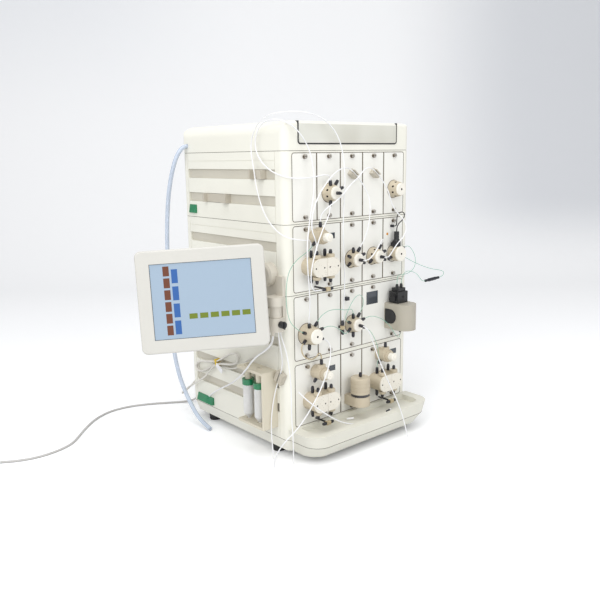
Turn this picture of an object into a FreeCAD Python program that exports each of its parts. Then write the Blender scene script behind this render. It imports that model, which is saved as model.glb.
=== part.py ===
import FreeCAD, Part
import os
from math import cos, pi, radians, sin, tan

# Fast protein liquid chromatography system: a bench cabinet of stacked tiers with modules
# in a grid, a touch screen on a swing arm, a drip tray, valves, pumps, a mixer, a detector
# and the tubing between them.
# Millimetres. X runs along the front, Y to the back, Z up. The origin is on the bench
# surface, under the middle of the cabinet.

# Cabinet
CABINET_WIDTH = 470.0
CABINET_DEPTH = 470.0
FRONT_Y = -237.0
FOOT_HEIGHT = 21.0
BASE_SEAM_Z = 54.5
SIDE_WALL = 12.0
FRAME_DEPTH = 12.0
TIER_FLOOR = 5.0
FRONT_CORNER_R = 20.0
REAR_CORNER_R = 14.0
SEAM_HEIGHT = 1.2
SEAM_DEPTH = 1.6
CAP_HEIGHT = 73.0
CAP_WALL = 4.0
CAP_SIDE_R = 32.0
CAP_REAR_R = 28.0
CAP_FRONT_R = 10.0

# Module grid
BAY_MARGIN = 25.0
COLUMNS = 5
ROWS = 4
FIRST_ROW_Z = 88.0
PANEL_HEIGHT = 170.5
ROW_SPACE = 13.0
ROW_PITCH = PANEL_HEIGHT + ROW_SPACE
PANEL_GAP = 2.5
PANEL_THICK = 4.0
PANEL_OUTER_R = 6.5
PANEL_INNER_R = 1.5
BAY_GAP = 1.5
BAY_R = 8.0
CHASSIS_SHORT = 70.0
CHASSIS_WALL = 2.0
CHASSIS_HEAD_ROOM = 2.0

# Side bands, grooves and rails
BAND_LOW = 38.5
BAND_HIGH = 105.5
BAND_HEIGHT = 25.5
BAND_DEPTH = 8.0
BAND_FRONT_INSET = 37.0
BAND_REAR_INSET = 26.0
RAIL_THICK = 2.5
GROOVE_WIDTH = 1.4
GROOVE_DEPTH = 1.2
SIDE_LINE_HEIGHT = 152.5

# Running and seating gaps
SEAT = 0.3
RUNNING = 0.05

# Derived places of the cabinet
HALF_WIDTH = CABINET_WIDTH / 2
REAR_Y = FRONT_Y + CABINET_DEPTH
TIER_EDGE = (ROW_PITCH - PANEL_HEIGHT) / 2
LOWER_TOP_Z = FIRST_ROW_Z + ROW_PITCH + PANEL_HEIGHT + TIER_EDGE
MIDDLE_TOP_Z = LOWER_TOP_Z + ROW_PITCH
UPPER_TOP_Z = MIDDLE_TOP_Z + ROW_PITCH
INNER_HALF = HALF_WIDTH - SIDE_WALL
CAP_TOP_Z = UPPER_TOP_Z + CAP_HEIGHT
COLUMN_PITCH = (CABINET_WIDTH - 2 * BAY_MARGIN) / COLUMNS
CHASSIS_DEPTH = CABINET_DEPTH - CHASSIS_SHORT
BAND_FRONT_Y = FRONT_Y + BAND_FRONT_INSET
BAND_REAR_Y = REAR_Y - BAND_REAR_INSET

NODES = {}


def V(x, y, z):
    return FreeCAD.Vector(x, y, z)


X_AXIS = V(1, 0, 0)
Y_AXIS = V(0, 1, 0)
Z_AXIS = V(0, 0, 1)
FORWARD = V(0, -1, 0)
DOWN = V(0, 0, -1)


def add(name, *solids):
    """Keep the solids of one named node."""
    NODES.setdefault(name, []).extend(solids)


def row_z(row):
    """Bottom of a row's panels; row 1 is the top one."""
    return FIRST_ROW_Z + (ROWS - row) * ROW_PITCH


def col_x(column):
    """Middle of a column; column 1 is the left one."""
    return (column - (COLUMNS + 1) / 2) * COLUMN_PITCH


def box(x0, x1, y0, y1, z0, z1):
    return Part.makeBox(x1 - x0, y1 - y0, z1 - z0, V(x0, y0, z0))


def rod(radius, start, direction, length):
    return Part.makeCylinder(radius, length, start, direction)


def taper(start_radius, end_radius, start, direction, length):
    return Part.makeCone(start_radius, end_radius, length, start, direction)


def ring(outer, inner, start, direction, length):
    return rod(outer, start, direction, length).cut(rod(inner, start, direction, length))


def mirrored(shape):
    return shape.mirror(V(0, 0, 0), X_AXIS)


def rounded_wire(corners, radii):
    """Closed flat wire through the corners, each turned by an arc of its radius."""
    starts = []
    edges = []
    count = len(corners)
    for i, corner in enumerate(corners):
        to_last = corners[i - 1] - corner
        to_next = corners[(i + 1) % count] - corner
        to_last.normalize()
        to_next.normalize()
        half = to_last.getAngle(to_next) / 2
        if radii[i] <= 0:
            starts.append((corner, corner))
            continue
        reach = radii[i] / tan(half)
        inward = to_last + to_next
        inward.normalize()
        middle = corner + inward * (radii[i] / sin(half) - radii[i])
        first = corner + to_last * reach
        last = corner + to_next * reach
        starts.append((first, last))
        edges.append(Part.Arc(first, middle, last).toShape())
    for i in range(count):
        a = starts[i][1]
        b = starts[(i + 1) % count][0]
        if a.distanceToPoint(b) > 1e-6:
            edges.append(Part.LineSegment(a, b).toShape())
    return Part.Wire(Part.__sortEdges__(edges))


def plan_slab(x0, x1, y0, y1, z0, z1, front_r, rear_r):
    """Upright slab whose vertical edges are rounded, seen from above."""
    corners = [V(x0, y0, z0), V(x1, y0, z0), V(x1, y1, z0), V(x0, y1, z0)]
    wire = rounded_wire(corners, [front_r, front_r, rear_r, rear_r])
    return Part.Face(wire).extrude(V(0, 0, z1 - z0))


def front_slab(x0, x1, z0, z1, y0, y1, radii):
    """Slab extruded along Y; radii go bottom left, bottom right, top right, top left."""
    corners = [V(x0, y0, z0), V(x1, y0, z0), V(x1, y0, z1), V(x0, y0, z1)]
    return Part.Face(rounded_wire(corners, radii)).extrude(V(0, y1 - y0, 0))


def side_slab(y0, y1, z0, z1, x0, x1, radii):
    """Slab extruded along X; radii go front bottom, rear bottom, rear top, front top."""
    corners = [V(x0, y0, z0), V(x0, y1, z0), V(x0, y1, z1), V(x0, y0, z1)]
    return Part.Face(rounded_wire(corners, radii)).extrude(V(x1 - x0, 0, 0))


def cut_all(shape, tools):
    return shape.cut(tools) if tools else shape


# Cabinet tiers


def tier_shell(z0, z1, rows, line_row):
    """One tier: an outer skin with a bay for each row, bands and panel lines on its sides."""
    shell = plan_slab(-HALF_WIDTH, HALF_WIDTH, FRONT_Y, REAR_Y, z0, z1, FRONT_CORNER_R, REAR_CORNER_R)
    tools = []
    bay_half = COLUMNS * COLUMN_PITCH / 2 - PANEL_GAP / 2 + BAY_GAP
    for row in rows:
        low = row_z(row) - BAY_GAP
        high = row_z(row) + PANEL_HEIGHT + BAY_GAP
        bay_y = FRONT_Y + FRAME_DEPTH + 1
        tools.append(front_slab(-bay_half, bay_half, low, high, FRONT_Y - 1, bay_y, [BAY_R] * 4))
        tools.append(box(-INNER_HALF, INNER_HALF, FRONT_Y + FRAME_DEPTH, REAR_Y + 1, low, high))
        for rise in (BAND_LOW, BAND_HIGH):
            band_z = row_z(row) + rise
            band_x = HALF_WIDTH - BAND_DEPTH
            band = box(band_x, HALF_WIDTH + 1, BAND_FRONT_Y, BAND_REAR_Y, band_z, band_z + BAND_HEIGHT)
            tools += [band, mirrored(band)]
    groove_x = HALF_WIDTH - GROOVE_DEPTH
    line_z = row_z(line_row) + SIDE_LINE_HEIGHT
    lines = [
        box(groove_x, HALF_WIDTH + 1, BAND_FRONT_Y - GROOVE_WIDTH, BAND_FRONT_Y, z0 - 1, z1 + 1),
        box(groove_x, HALF_WIDTH + 1, BAND_REAR_Y, BAND_REAR_Y + GROOVE_WIDTH, z0 - 1, z1 + 1),
        box(groove_x, HALF_WIDTH + 1, BAND_FRONT_Y, BAND_REAR_Y, line_z, line_z + GROOVE_WIDTH),
    ]
    for line in lines:
        tools += [line, mirrored(line)]
    rebate_outer = box(-HALF_WIDTH - 1, HALF_WIDTH + 1, FRONT_Y - 1, REAR_Y + 1, z1 - SEAM_HEIGHT, z1 + 1)
    rebate_core = plan_slab(
        -HALF_WIDTH + SEAM_DEPTH,
        HALF_WIDTH - SEAM_DEPTH,
        FRONT_Y + SEAM_DEPTH,
        REAR_Y - SEAM_DEPTH,
        z1 - SEAM_HEIGHT - 1,
        z1 + 2,
        FRONT_CORNER_R - SEAM_DEPTH,
        REAR_CORNER_R - SEAM_DEPTH,
    )
    tools.append(rebate_outer.cut(rebate_core))
    return cut_all(shell, tools)


def lower_pocket():
    """Hollow under the lowest shelf, where the supply and its wires lie."""
    margin = SIDE_WALL + 3
    return box(
        -HALF_WIDTH + margin,
        HALF_WIDTH - margin,
        FRONT_Y + margin,
        REAR_Y - margin,
        BASE_SEAM_Z - 1,
        FIRST_ROW_Z - BAY_GAP - TIER_FLOOR,
    )


add("lower_tier_shell", tier_shell(BASE_SEAM_Z, LOWER_TOP_Z, (4, 3), 3).cut(lower_pocket()))
add("middle_tier_shell", tier_shell(LOWER_TOP_Z, MIDDLE_TOP_Z, (2,), 2))
add("upper_tier_shell", tier_shell(MIDDLE_TOP_Z, UPPER_TOP_Z, (1,), 1))


def accessory_rails():
    """Strips that line the side bands, one for each band and side."""
    rails = []
    for row in range(1, ROWS + 1):
        for rise in (BAND_LOW, BAND_HIGH):
            low = row_z(row) + rise
            inner = HALF_WIDTH - BAND_DEPTH
            rail = box(
                inner,
                inner + RAIL_THICK,
                BAND_FRONT_Y + SEAT,
                BAND_REAR_Y - SEAT,
                low + SEAT,
                low + BAND_HEIGHT - SEAT,
            )
            rails += [rail, mirrored(rail)]
    return rails


add("accessory_rails", *accessory_rails())

# Cap, with the name plate bare

PLATE_LEFT = -HALF_WIDTH + 49.0
PLATE_RIGHT = HALF_WIDTH - 60.0
PLATE_LOW_Z = UPPER_TOP_Z + 18.5
PLATE_FRAME = 3.6
PLATE_BED = 14.0
PLATE_PROUD = 1.2
PLATE_CORNER_R = 9.0
PLATE_BEVEL = 7.0
HOSE_HOLE_Y = REAR_Y - 26.0
HOSE_HOLE_Z = UPPER_TOP_Z + 20.0
HOSE_HOLE_R = 6.5


def cap_cover():
    """Cap over the upper tier: rounded over the sides and the back, open underneath."""

    def body(inset, z0):
        z1 = CAP_TOP_Z - inset
        half = HALF_WIDTH - inset
        y0 = FRONT_Y + inset
        y1 = REAR_Y - inset
        plan = plan_slab(-half, half, y0, y1, z0, z1, FRONT_CORNER_R - inset, REAR_CORNER_R - inset)
        side_r = CAP_SIDE_R - inset
        front = front_slab(-half, half, z0, z1, y0, y1, [0, 0, side_r, side_r])
        side = side_slab(y0, y1, z0, z1, -half, half, [0, 0, CAP_REAR_R - inset, CAP_FRONT_R - inset])
        return plan.common(front).common(side)

    outer = body(0, UPPER_TOP_Z)
    inner = body(CAP_WALL, UPPER_TOP_Z)
    inner.translate(V(0, 0, -1))
    bed = front_slab(
        PLATE_LEFT - PLATE_FRAME,
        PLATE_RIGHT + PLATE_FRAME,
        PLATE_LOW_Z - PLATE_FRAME,
        CAP_TOP_Z + 20,
        FRONT_Y - 1,
        FRONT_Y + PLATE_BED,
        [PLATE_CORNER_R, PLATE_CORNER_R, 0, 0],
    )
    backing = box(
        PLATE_LEFT - 3 * PLATE_FRAME,
        PLATE_RIGHT + 3 * PLATE_FRAME,
        FRONT_Y + CAP_WALL - 1,
        FRONT_Y + PLATE_BED + CAP_WALL,
        PLATE_LOW_Z - 3 * PLATE_FRAME,
        CAP_TOP_Z - CAP_WALL + 0.5,
    )
    hole = rod(HOSE_HOLE_R, V(-HALF_WIDTH - 1, HOSE_HOLE_Y, HOSE_HOLE_Z), X_AXIS, 2 * CAP_WALL)
    return outer.cut(inner).fuse(backing).cut([bed, hole]).removeSplitter()


add("cap_cover", cap_cover())


def nameplate_frame():
    """Dark U-shaped trim round the plate: left, bottom and right."""
    y0 = FRONT_Y - PLATE_PROUD
    y1 = FRONT_Y + PLATE_BED
    outer = front_slab(
        PLATE_LEFT - PLATE_FRAME + SEAT,
        PLATE_RIGHT + PLATE_FRAME - SEAT,
        PLATE_LOW_Z - PLATE_FRAME + SEAT,
        CAP_TOP_Z,
        y0,
        y1,
        [PLATE_CORNER_R - SEAT, PLATE_CORNER_R - SEAT, 0, 0],
    )
    inner_r = PLATE_CORNER_R - PLATE_FRAME
    inner = front_slab(
        PLATE_LEFT, PLATE_RIGHT, PLATE_LOW_Z, CAP_TOP_Z + 1, y0 - 1, y1 + 1, [inner_r, inner_r, 0, 0]
    )
    return outer.cut(inner)


def nameplate():
    """Plate with a bevel along its top edge."""
    y0 = FRONT_Y - PLATE_PROUD
    y1 = FRONT_Y + PLATE_BED
    inner_r = PLATE_CORNER_R - PLATE_FRAME
    plate = front_slab(
        PLATE_LEFT + SEAT,
        PLATE_RIGHT - SEAT,
        PLATE_LOW_Z + SEAT,
        CAP_TOP_Z,
        y0,
        y1,
        [inner_r, inner_r, 0, 0],
    )
    bevel = Part.Face(
        Part.makePolygon(
            [
                V(PLATE_LEFT - 1, y0 - 1, CAP_TOP_Z - PLATE_BEVEL),
                V(PLATE_LEFT - 1, y0, CAP_TOP_Z - PLATE_BEVEL),
                V(PLATE_LEFT - 1, y0 + PLATE_BEVEL, CAP_TOP_Z + 0.5),
                V(PLATE_LEFT - 1, y0 - 1, CAP_TOP_Z + 0.5),
                V(PLATE_LEFT - 1, y0 - 1, CAP_TOP_Z - PLATE_BEVEL),
            ]
        )
    ).extrude(V(PLATE_RIGHT - PLATE_LEFT + 2, 0, 0))
    return plate.cut(bevel)


add("nameplate_frame", nameplate_frame())
add("nameplate", nameplate())

# Base, feet and drip tray

BASE_TAPER = 9.0
BASE_WALL = 5.0
FOOT_R = 19.0
FOOT_INSET_X = 30.0
FOOT_INSET_Y = 76.0
FOOT_SCREW_R = 3.3
FOOT_SINK = 3.0

TRAY_REACH = 104.0
TRAY_TOP_Z = 87.0
TRAY_SEAM_REACH = 99.5
TRAY_SEAM_INSET = 9.0
TRAY_BOTTOM_REACH = 78.0
TRAY_BOTTOM_INSET = 20.0
TRAY_CORNER_R = 48.0
TRAY_RIM = 20.0
TRAY_BASIN_DEPTH = 15.0
TRAY_WALL = 4.0
TONGUE_X = HALF_WIDTH - 85.0
TONGUE_WIDTH = 34.0
TONGUE_THICK = 6.0
TONGUE_LENGTH = 150.0
TONGUE_Z = 40.0


def foot_places():
    x = HALF_WIDTH - FOOT_INSET_X
    y = (REAR_Y - FRONT_Y) / 2 - FOOT_INSET_Y
    return [(-x, -y), (x, -y), (x, y), (-x, y)]


def tongue_slot(clearance, y0, y1):
    return box(
        TONGUE_X - TONGUE_WIDTH / 2 - clearance,
        TONGUE_X + TONGUE_WIDTH / 2 + clearance,
        y0,
        y1,
        TONGUE_Z - clearance,
        TONGUE_Z + TONGUE_THICK + clearance,
    )


def base_pan():
    """Pan under the cabinet: sides lean in towards the floor; it holds the tray's tongues."""

    def wire(inset, z):
        half = HALF_WIDTH - inset
        y0 = FRONT_Y + inset / 2
        y1 = REAR_Y - inset
        front_r = FRONT_CORNER_R
        corners = [V(-half, y0, z), V(half, y0, z), V(half, y1, z), V(-half, y1, z)]
        return rounded_wire(corners, [front_r, front_r, REAR_CORNER_R, REAR_CORNER_R])

    top_z = BASE_SEAM_Z - SEAM_HEIGHT
    outer = Part.makeLoft([wire(BASE_TAPER, FOOT_HEIGHT), wire(0, top_z)], True, True)
    lip = plan_slab(
        -HALF_WIDTH + SEAM_DEPTH,
        HALF_WIDTH - SEAM_DEPTH,
        FRONT_Y + SEAM_DEPTH,
        REAR_Y - SEAM_DEPTH,
        top_z,
        BASE_SEAM_Z,
        FRONT_CORNER_R - SEAM_DEPTH,
        REAR_CORNER_R - SEAM_DEPTH,
    )
    margin = BASE_TAPER + BASE_WALL
    inside = box(
        -HALF_WIDTH + margin,
        HALF_WIDTH - margin,
        FRONT_Y + margin,
        REAR_Y - margin,
        FOOT_HEIGHT + BASE_WALL,
        BASE_SEAM_Z + 1,
    )
    guide_end = FRONT_Y + TONGUE_LENGTH + 12
    guide = box(
        TONGUE_X - TONGUE_WIDTH / 2 - 4,
        TONGUE_X + TONGUE_WIDTH / 2 + 4,
        FRONT_Y + margin - 1,
        guide_end,
        FOOT_HEIGHT + BASE_WALL - 1,
        TONGUE_Z + TONGUE_THICK + 4,
    )
    slot = tongue_slot(SEAT, FRONT_Y - 1, guide_end + 1)
    body = outer.fuse(lip).cut(inside).fuse([guide, mirrored(guide)])
    body = body.cut([slot, mirrored(slot)])
    holes = []
    for x, y in foot_places():
        holes.append(rod(FOOT_SCREW_R, V(x, y, 0), Z_AXIS, FOOT_HEIGHT + 2 * BASE_WALL))
        holes.append(rod(FOOT_R + SEAT, V(x, y, FOOT_HEIGHT - 1), Z_AXIS, 1 + FOOT_SINK))
    return body.cut(holes).removeSplitter()


def foot(x, y):
    """Rubber foot sunk in the base, with a screw hole up its middle."""
    body = taper(FOOT_R - 2, FOOT_R, V(x, y, 0), Z_AXIS, FOOT_HEIGHT + FOOT_SINK)
    return body.cut(rod(FOOT_SCREW_R, V(x, y, -1), Z_AXIS, FOOT_HEIGHT + 10))


def tray_wire(inset, reach, z):
    """Outline of the tray at one height, round at its two front corners."""
    half = HALF_WIDTH - inset
    y0 = FRONT_Y - reach
    y1 = FRONT_Y - SEAT
    corners = [V(-half, y0, z), V(half, y0, z), V(half, y1, z), V(-half, y1, z)]
    return rounded_wire(corners, [TRAY_CORNER_R, TRAY_CORNER_R, 0, 0])


def drip_tray():
    """Upper pan of the tray across the front, with a shallow basin."""
    low = tray_wire(TRAY_SEAM_INSET, TRAY_SEAM_REACH, BASE_SEAM_Z)
    pan = Part.makeLoft([low, tray_wire(0, TRAY_REACH, TRAY_TOP_Z)], True, True)
    basin = plan_slab(
        -HALF_WIDTH + TRAY_RIM + 12,
        HALF_WIDTH - TRAY_RIM - 12,
        FRONT_Y - TRAY_REACH + TRAY_RIM,
        FRONT_Y - 12,
        TRAY_TOP_Z - TRAY_BASIN_DEPTH,
        TRAY_TOP_Z + 1,
        TRAY_CORNER_R - TRAY_RIM,
        8,
    )
    return pan.cut(basin)


def drip_tray_base():
    """Hollow lower body that carries the pan, on two flat tongues in the base."""
    seam_z = BASE_SEAM_Z - SEAM_HEIGHT
    low = tray_wire(TRAY_BOTTOM_INSET, TRAY_BOTTOM_REACH, FOOT_HEIGHT)
    body = Part.makeLoft([low, tray_wire(TRAY_SEAM_INSET, TRAY_SEAM_REACH, seam_z)], True, True)
    neck = Part.Face(tray_wire(TRAY_SEAM_INSET + SEAM_DEPTH, TRAY_SEAM_REACH - SEAM_DEPTH, seam_z))
    neck = neck.extrude(V(0, 0, SEAM_HEIGHT))
    under = plan_slab(
        -HALF_WIDTH + TRAY_BOTTOM_INSET + 3 * TRAY_WALL,
        HALF_WIDTH - TRAY_BOTTOM_INSET - 3 * TRAY_WALL,
        FRONT_Y - TRAY_BOTTOM_REACH + 3 * TRAY_WALL,
        FRONT_Y - 2 * TRAY_WALL,
        FOOT_HEIGHT - 1,
        seam_z - TRAY_WALL,
        TRAY_CORNER_R - 3 * TRAY_WALL,
        4,
    )
    tongue = tongue_slot(0, FRONT_Y - 2 * TRAY_WALL - 1, FRONT_Y + TONGUE_LENGTH)
    return body.fuse(neck).cut(under).fuse([tongue, mirrored(tongue)]).removeSplitter()


add("base_pan", base_pan())
add("rubber_feet", *[foot(x, y) for x, y in foot_places()])
add("drip_tray", drip_tray())
add("drip_tray_base", drip_tray_base())

# Back of the cabinet: panels, fan, power inlet and switch

REAR_PANEL_THICK = 3.0
REAR_PANEL_SINK = 1.0
VENT_LENGTH = 60.0
VENT_HEIGHT = 3.0
VENT_PITCH = 9.0
VENT_COUNT = 8
FAN_X = HALF_WIDTH - 85.0
FAN_SIZE = 80.0
FAN_DEPTH = 25.0
FAN_BORE_R = 37.0
FAN_HUB_R = 14.0
FAN_TIP_R = 35.0
FAN_BLADES = 7
FAN_SLOT = 4.0
INLET_X = -HALF_WIDTH + 85.0
INLET_WIDTH = 28.0
INLET_HEIGHT = 22.0
PIN_PLACES = ((-7, -3), (7, -3), (0, 3))
SWITCH_DROP = 34.0
SWITCH_WIDTH = 20.0
SWITCH_HEIGHT = 14.0
SWITCH_PIN_R = 1.5
GLAND_X = -HALF_WIDTH + 40.0
GLAND_Z = 110.0
GLAND_R = 5.0
GLAND_LENGTH = 12.0

FAN_Z = row_z(4) + PANEL_HEIGHT / 2
INLET_Z = row_z(4) + PANEL_HEIGHT / 2 + 20
PANEL_REAR_Y = REAR_Y - REAR_PANEL_SINK
PANEL_INNER_Y = PANEL_REAR_Y - REAR_PANEL_THICK


def vents(x, z):
    """A ladder of slots through a rear panel."""
    slots = []
    for i in range(VENT_COUNT):
        low = z + (i - (VENT_COUNT - 1) / 2) * VENT_PITCH - VENT_HEIGHT / 2
        left = x - VENT_LENGTH / 2
        slots.append(box(left, left + VENT_LENGTH, PANEL_INNER_Y - 1, REAR_Y + 1, low, low + VENT_HEIGHT))
    return slots


def fan_grille():
    """Concentric gaps in front of the fan, crossed by four spokes."""
    centre = V(FAN_X, PANEL_INNER_Y - 1, FAN_Z)
    depth = REAR_PANEL_THICK + 2
    spokes = []
    for angle in (45, 135):
        bar = box(-FAN_BORE_R - 5, FAN_BORE_R + 5, -depth, 2 * depth, -2, 2)
        bar.rotate(V(0, 0, 0), Y_AXIS, angle)
        bar.translate(centre)
        spokes.append(bar)
    gaps = []
    radius = FAN_BORE_R
    while radius > FAN_HUB_R:
        gaps.append(ring(radius, radius - FAN_SLOT, centre, Y_AXIS, depth).cut(spokes))
        radius -= 2 * FAN_SLOT
    return gaps


def rear_panel(row):
    """Sheet that closes the back of one row."""
    low = row_z(row) - BAY_GAP + SEAT
    high = row_z(row) + PANEL_HEIGHT + BAY_GAP - SEAT
    half = INNER_HALF - SEAT
    panel = box(-half, half, PANEL_INNER_Y, PANEL_REAR_Y, low, high)
    middle = row_z(row) + PANEL_HEIGHT / 2
    if row < ROWS:
        return panel.cut(vents(-FAN_X, middle) + vents(0, middle) + vents(FAN_X, middle))
    inlet = box(
        INLET_X - INLET_WIDTH / 2,
        INLET_X + INLET_WIDTH / 2,
        PANEL_INNER_Y - 1,
        REAR_Y + 1,
        INLET_Z - INLET_HEIGHT / 2,
        INLET_Z + INLET_HEIGHT / 2,
    )
    switch = box(
        INLET_X - SWITCH_WIDTH / 2 - 1,
        INLET_X + SWITCH_WIDTH / 2 + 1,
        PANEL_INNER_Y - 1,
        REAR_Y + 1,
        INLET_Z - SWITCH_DROP - SWITCH_HEIGHT / 2 - 1,
        INLET_Z - SWITCH_DROP + SWITCH_HEIGHT / 2 + 1,
    )
    gland = rod(GLAND_R, V(GLAND_X, PANEL_REAR_Y - 1, GLAND_Z), Y_AXIS, GLAND_LENGTH + 1)
    return panel.cut(fan_grille() + vents(0, middle) + [inlet, switch]).fuse(gland)


def fan_frame():
    """Square fan housing behind the grille, with a motor boss on three arms."""
    y0 = PANEL_INNER_Y - FAN_DEPTH
    half = FAN_SIZE / 2
    frame = front_slab(FAN_X - half, FAN_X + half, FAN_Z - half, FAN_Z + half, y0, PANEL_INNER_Y, [4] * 4)
    frame = frame.cut(rod(FAN_BORE_R, V(FAN_X, y0 - 1, FAN_Z), Y_AXIS, FAN_DEPTH + 2))
    arms = []
    for i in range(3):
        arm = box(-2, 2, 0, 3, 0, FAN_BORE_R + 1)
        arm.rotate(V(0, 0, 0), Y_AXIS, 120 * i)
        arm.translate(V(FAN_X, y0, FAN_Z))
        arms.append(arm)
    boss = rod(FAN_HUB_R - 2, V(FAN_X, y0, FAN_Z), Y_AXIS, 4)
    pin = rod(3, V(FAN_X, y0, FAN_Z), Y_AXIS, FAN_DEPTH - 4)
    return frame.fuse(arms + [boss, pin])


def fan_rotor():
    """Hub with blades that turns on the housing's pin."""
    y0 = PANEL_INNER_Y - FAN_DEPTH + 5
    depth = FAN_DEPTH - 9
    blades = []
    for i in range(FAN_BLADES):
        blade = box(-1, 1, -depth / 2, depth / 2, FAN_HUB_R - 2, FAN_TIP_R)
        blade.rotate(V(0, 0, 0), Z_AXIS, 32)
        blade = blade.common(box(-20, 20, -depth / 2, depth / 2, 0, FAN_TIP_R))
        blade.rotate(V(0, 0, 0), Y_AXIS, 360 / FAN_BLADES * i)
        blade.translate(V(FAN_X, y0 + depth / 2, FAN_Z))
        blades.append(blade)
    hub = rod(FAN_HUB_R, V(FAN_X, y0, FAN_Z), Y_AXIS, depth)
    rotor = hub.fuse(blades)
    return rotor.cut(rod(3 + RUNNING, V(FAN_X, y0 - 1, FAN_Z), Y_AXIS, depth + 2))


def power_inlet():
    """Socket for the mains lead, with three pins, and the switch's cradle below it."""
    flange_y = PANEL_REAR_Y
    z_low = INLET_Z - SWITCH_DROP - SWITCH_HEIGHT / 2 - 7
    z_high = INLET_Z + INLET_HEIGHT / 2 + 7
    half = INLET_WIDTH / 2 + 6
    flange = front_slab(INLET_X - half, INLET_X + half, z_low, z_high, flange_y, flange_y + 2, [3] * 4)
    well = box(
        INLET_X - INLET_WIDTH / 2 + SEAT,
        INLET_X + INLET_WIDTH / 2 - SEAT,
        PANEL_INNER_Y - 22,
        flange_y + 1,
        INLET_Z - INLET_HEIGHT / 2 + SEAT,
        INLET_Z + INLET_HEIGHT / 2 - SEAT,
    )
    hollow = front_slab(
        INLET_X - INLET_WIDTH / 2 + 2,
        INLET_X + INLET_WIDTH / 2 - 2,
        INLET_Z - INLET_HEIGHT / 2 + 2,
        INLET_Z + INLET_HEIGHT / 2 - 2,
        flange_y - 17,
        flange_y + 3,
        [1, 1, 5, 5],
    )
    pins = []
    for dx, dz in PIN_PLACES:
        pin_x = INLET_X + dx
        pin_z = INLET_Z + dz
        pins.append(box(pin_x - 1, pin_x + 1, flange_y - 18, flange_y - 4, pin_z - 2, pin_z + 2))
    switch_z = INLET_Z - SWITCH_DROP
    cradle = box(
        INLET_X - SWITCH_WIDTH / 2 - 1 + SEAT,
        INLET_X + SWITCH_WIDTH / 2 + 1 - SEAT,
        PANEL_INNER_Y - 12,
        flange_y + 1,
        switch_z - SWITCH_HEIGHT / 2 - 1 + SEAT,
        switch_z + SWITCH_HEIGHT / 2 + 1 - SEAT,
    )
    rocker_well = box(
        INLET_X - SWITCH_WIDTH / 2 + 0.5,
        INLET_X + SWITCH_WIDTH / 2 - 0.5,
        flange_y - 10,
        flange_y + 3,
        switch_z - SWITCH_HEIGHT / 2 + 0.5,
        switch_z + SWITCH_HEIGHT / 2 - 0.5,
    )
    pin = rod(SWITCH_PIN_R, V(INLET_X - SWITCH_WIDTH / 2, flange_y - 2, switch_z), X_AXIS, SWITCH_WIDTH)
    body = flange.fuse([well, cradle]).cut([hollow, rocker_well])
    return body.fuse(pins + [pin]).removeSplitter()


def power_switch():
    """Rocker that tips on its pin, drawn in its middle position."""
    y = PANEL_REAR_Y - 2
    z = INLET_Z - SWITCH_DROP
    half_x = SWITCH_WIDTH / 2 - 1.2
    half_z = SWITCH_HEIGHT / 2 - 2
    profile = Part.makePolygon(
        [
            V(-half_x, y - 3, z - half_z + 1.5),
            V(-half_x, y + 4.6, z - half_z),
            V(-half_x, y + 3.6, z),
            V(-half_x, y + 4.6, z + half_z),
            V(-half_x, y - 3, z + half_z - 1.5),
            V(-half_x, y - 3, z - half_z + 1.5),
        ]
    )
    rocker = Part.Face(profile).extrude(V(2 * half_x, 0, 0))
    rocker.translate(V(INLET_X, 0, 0))
    return rocker.cut(rod(SWITCH_PIN_R + RUNNING, V(INLET_X - SWITCH_WIDTH, y, z), X_AXIS, 2 * SWITCH_WIDTH))


add("rear_panels", *[rear_panel(row) for row in range(1, ROWS + 1)])
add("fan_frame", fan_frame())
add("fan_rotor", fan_rotor())
add("power_inlet", power_inlet())
add("power_switch", power_switch())

# Modules: panels, chassis boxes and thumbscrews

SCREW_LOW = 9.5
SCREW_MARGIN = 8.5
SCREW_HIGH = PANEL_HEIGHT - SCREW_MARGIN
SCREW_R = 5.5
SCREW_HEAD = 7.0
SCREW_SHANK_R = 2.0
SCREW_SHANK = 12.0
SCREW_SLOT = 1.2

# Row, first column, columns wide and what the module is
MODULES = [
    (1, 1, 1, "blank"),
    (1, 2, 1, "valve"),
    (1, 3, 1, "blank"),
    (1, 4, 1, "blank"),
    (1, 5, 1, "valve"),
    (2, 1, 2, "pump"),
    (2, 3, 1, "valve"),
    (2, 4, 1, "valve"),
    (2, 5, 1, "ph_valve"),
    (3, 1, 1, "inject_valve"),
    (3, 2, 1, "blank"),
    (3, 3, 1, "valve"),
    (3, 4, 2, "detector"),
    (4, 1, 2, "pump"),
    (4, 3, 1, "mixer"),
    (4, 4, 2, "pump"),
]

VALVE_RISE = 68.0
PUMP_OFFSET = -10.5
PUMP_RISE = 65.0
HEAD_PITCH = 48.0
PISTON_BORE_R = 2.1
PISTON_GUIDE_R = 8.0
DRIVE_HOLE_R = 9.0
WINDOW_LEFT = 36.5
WINDOW_RIGHT = 63.5
WINDOW_LOW = 130.0
WINDOW_HIGH = 146.0
UV_WINDOW = (-66.0, -19.0, 112.0, 149.0)
GLASS_THICK = 1.0


def module_centre(column, width):
    return (col_x(column) + col_x(column + width - 1)) / 2


def panel(row, column, width):
    """Front panel of one module, with larger corners where it meets the bay's corners."""
    x0 = col_x(column) - COLUMN_PITCH / 2 + PANEL_GAP / 2
    x1 = col_x(column + width - 1) + COLUMN_PITCH / 2 - PANEL_GAP / 2
    left = PANEL_OUTER_R if column == 1 else PANEL_INNER_R
    right = PANEL_OUTER_R if column + width - 1 == COLUMNS else PANEL_INNER_R
    return front_slab(
        x0,
        x1,
        row_z(row),
        row_z(row) + PANEL_HEIGHT,
        FRONT_Y,
        FRONT_Y + PANEL_THICK,
        [left, right, right, left],
    )


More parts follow.
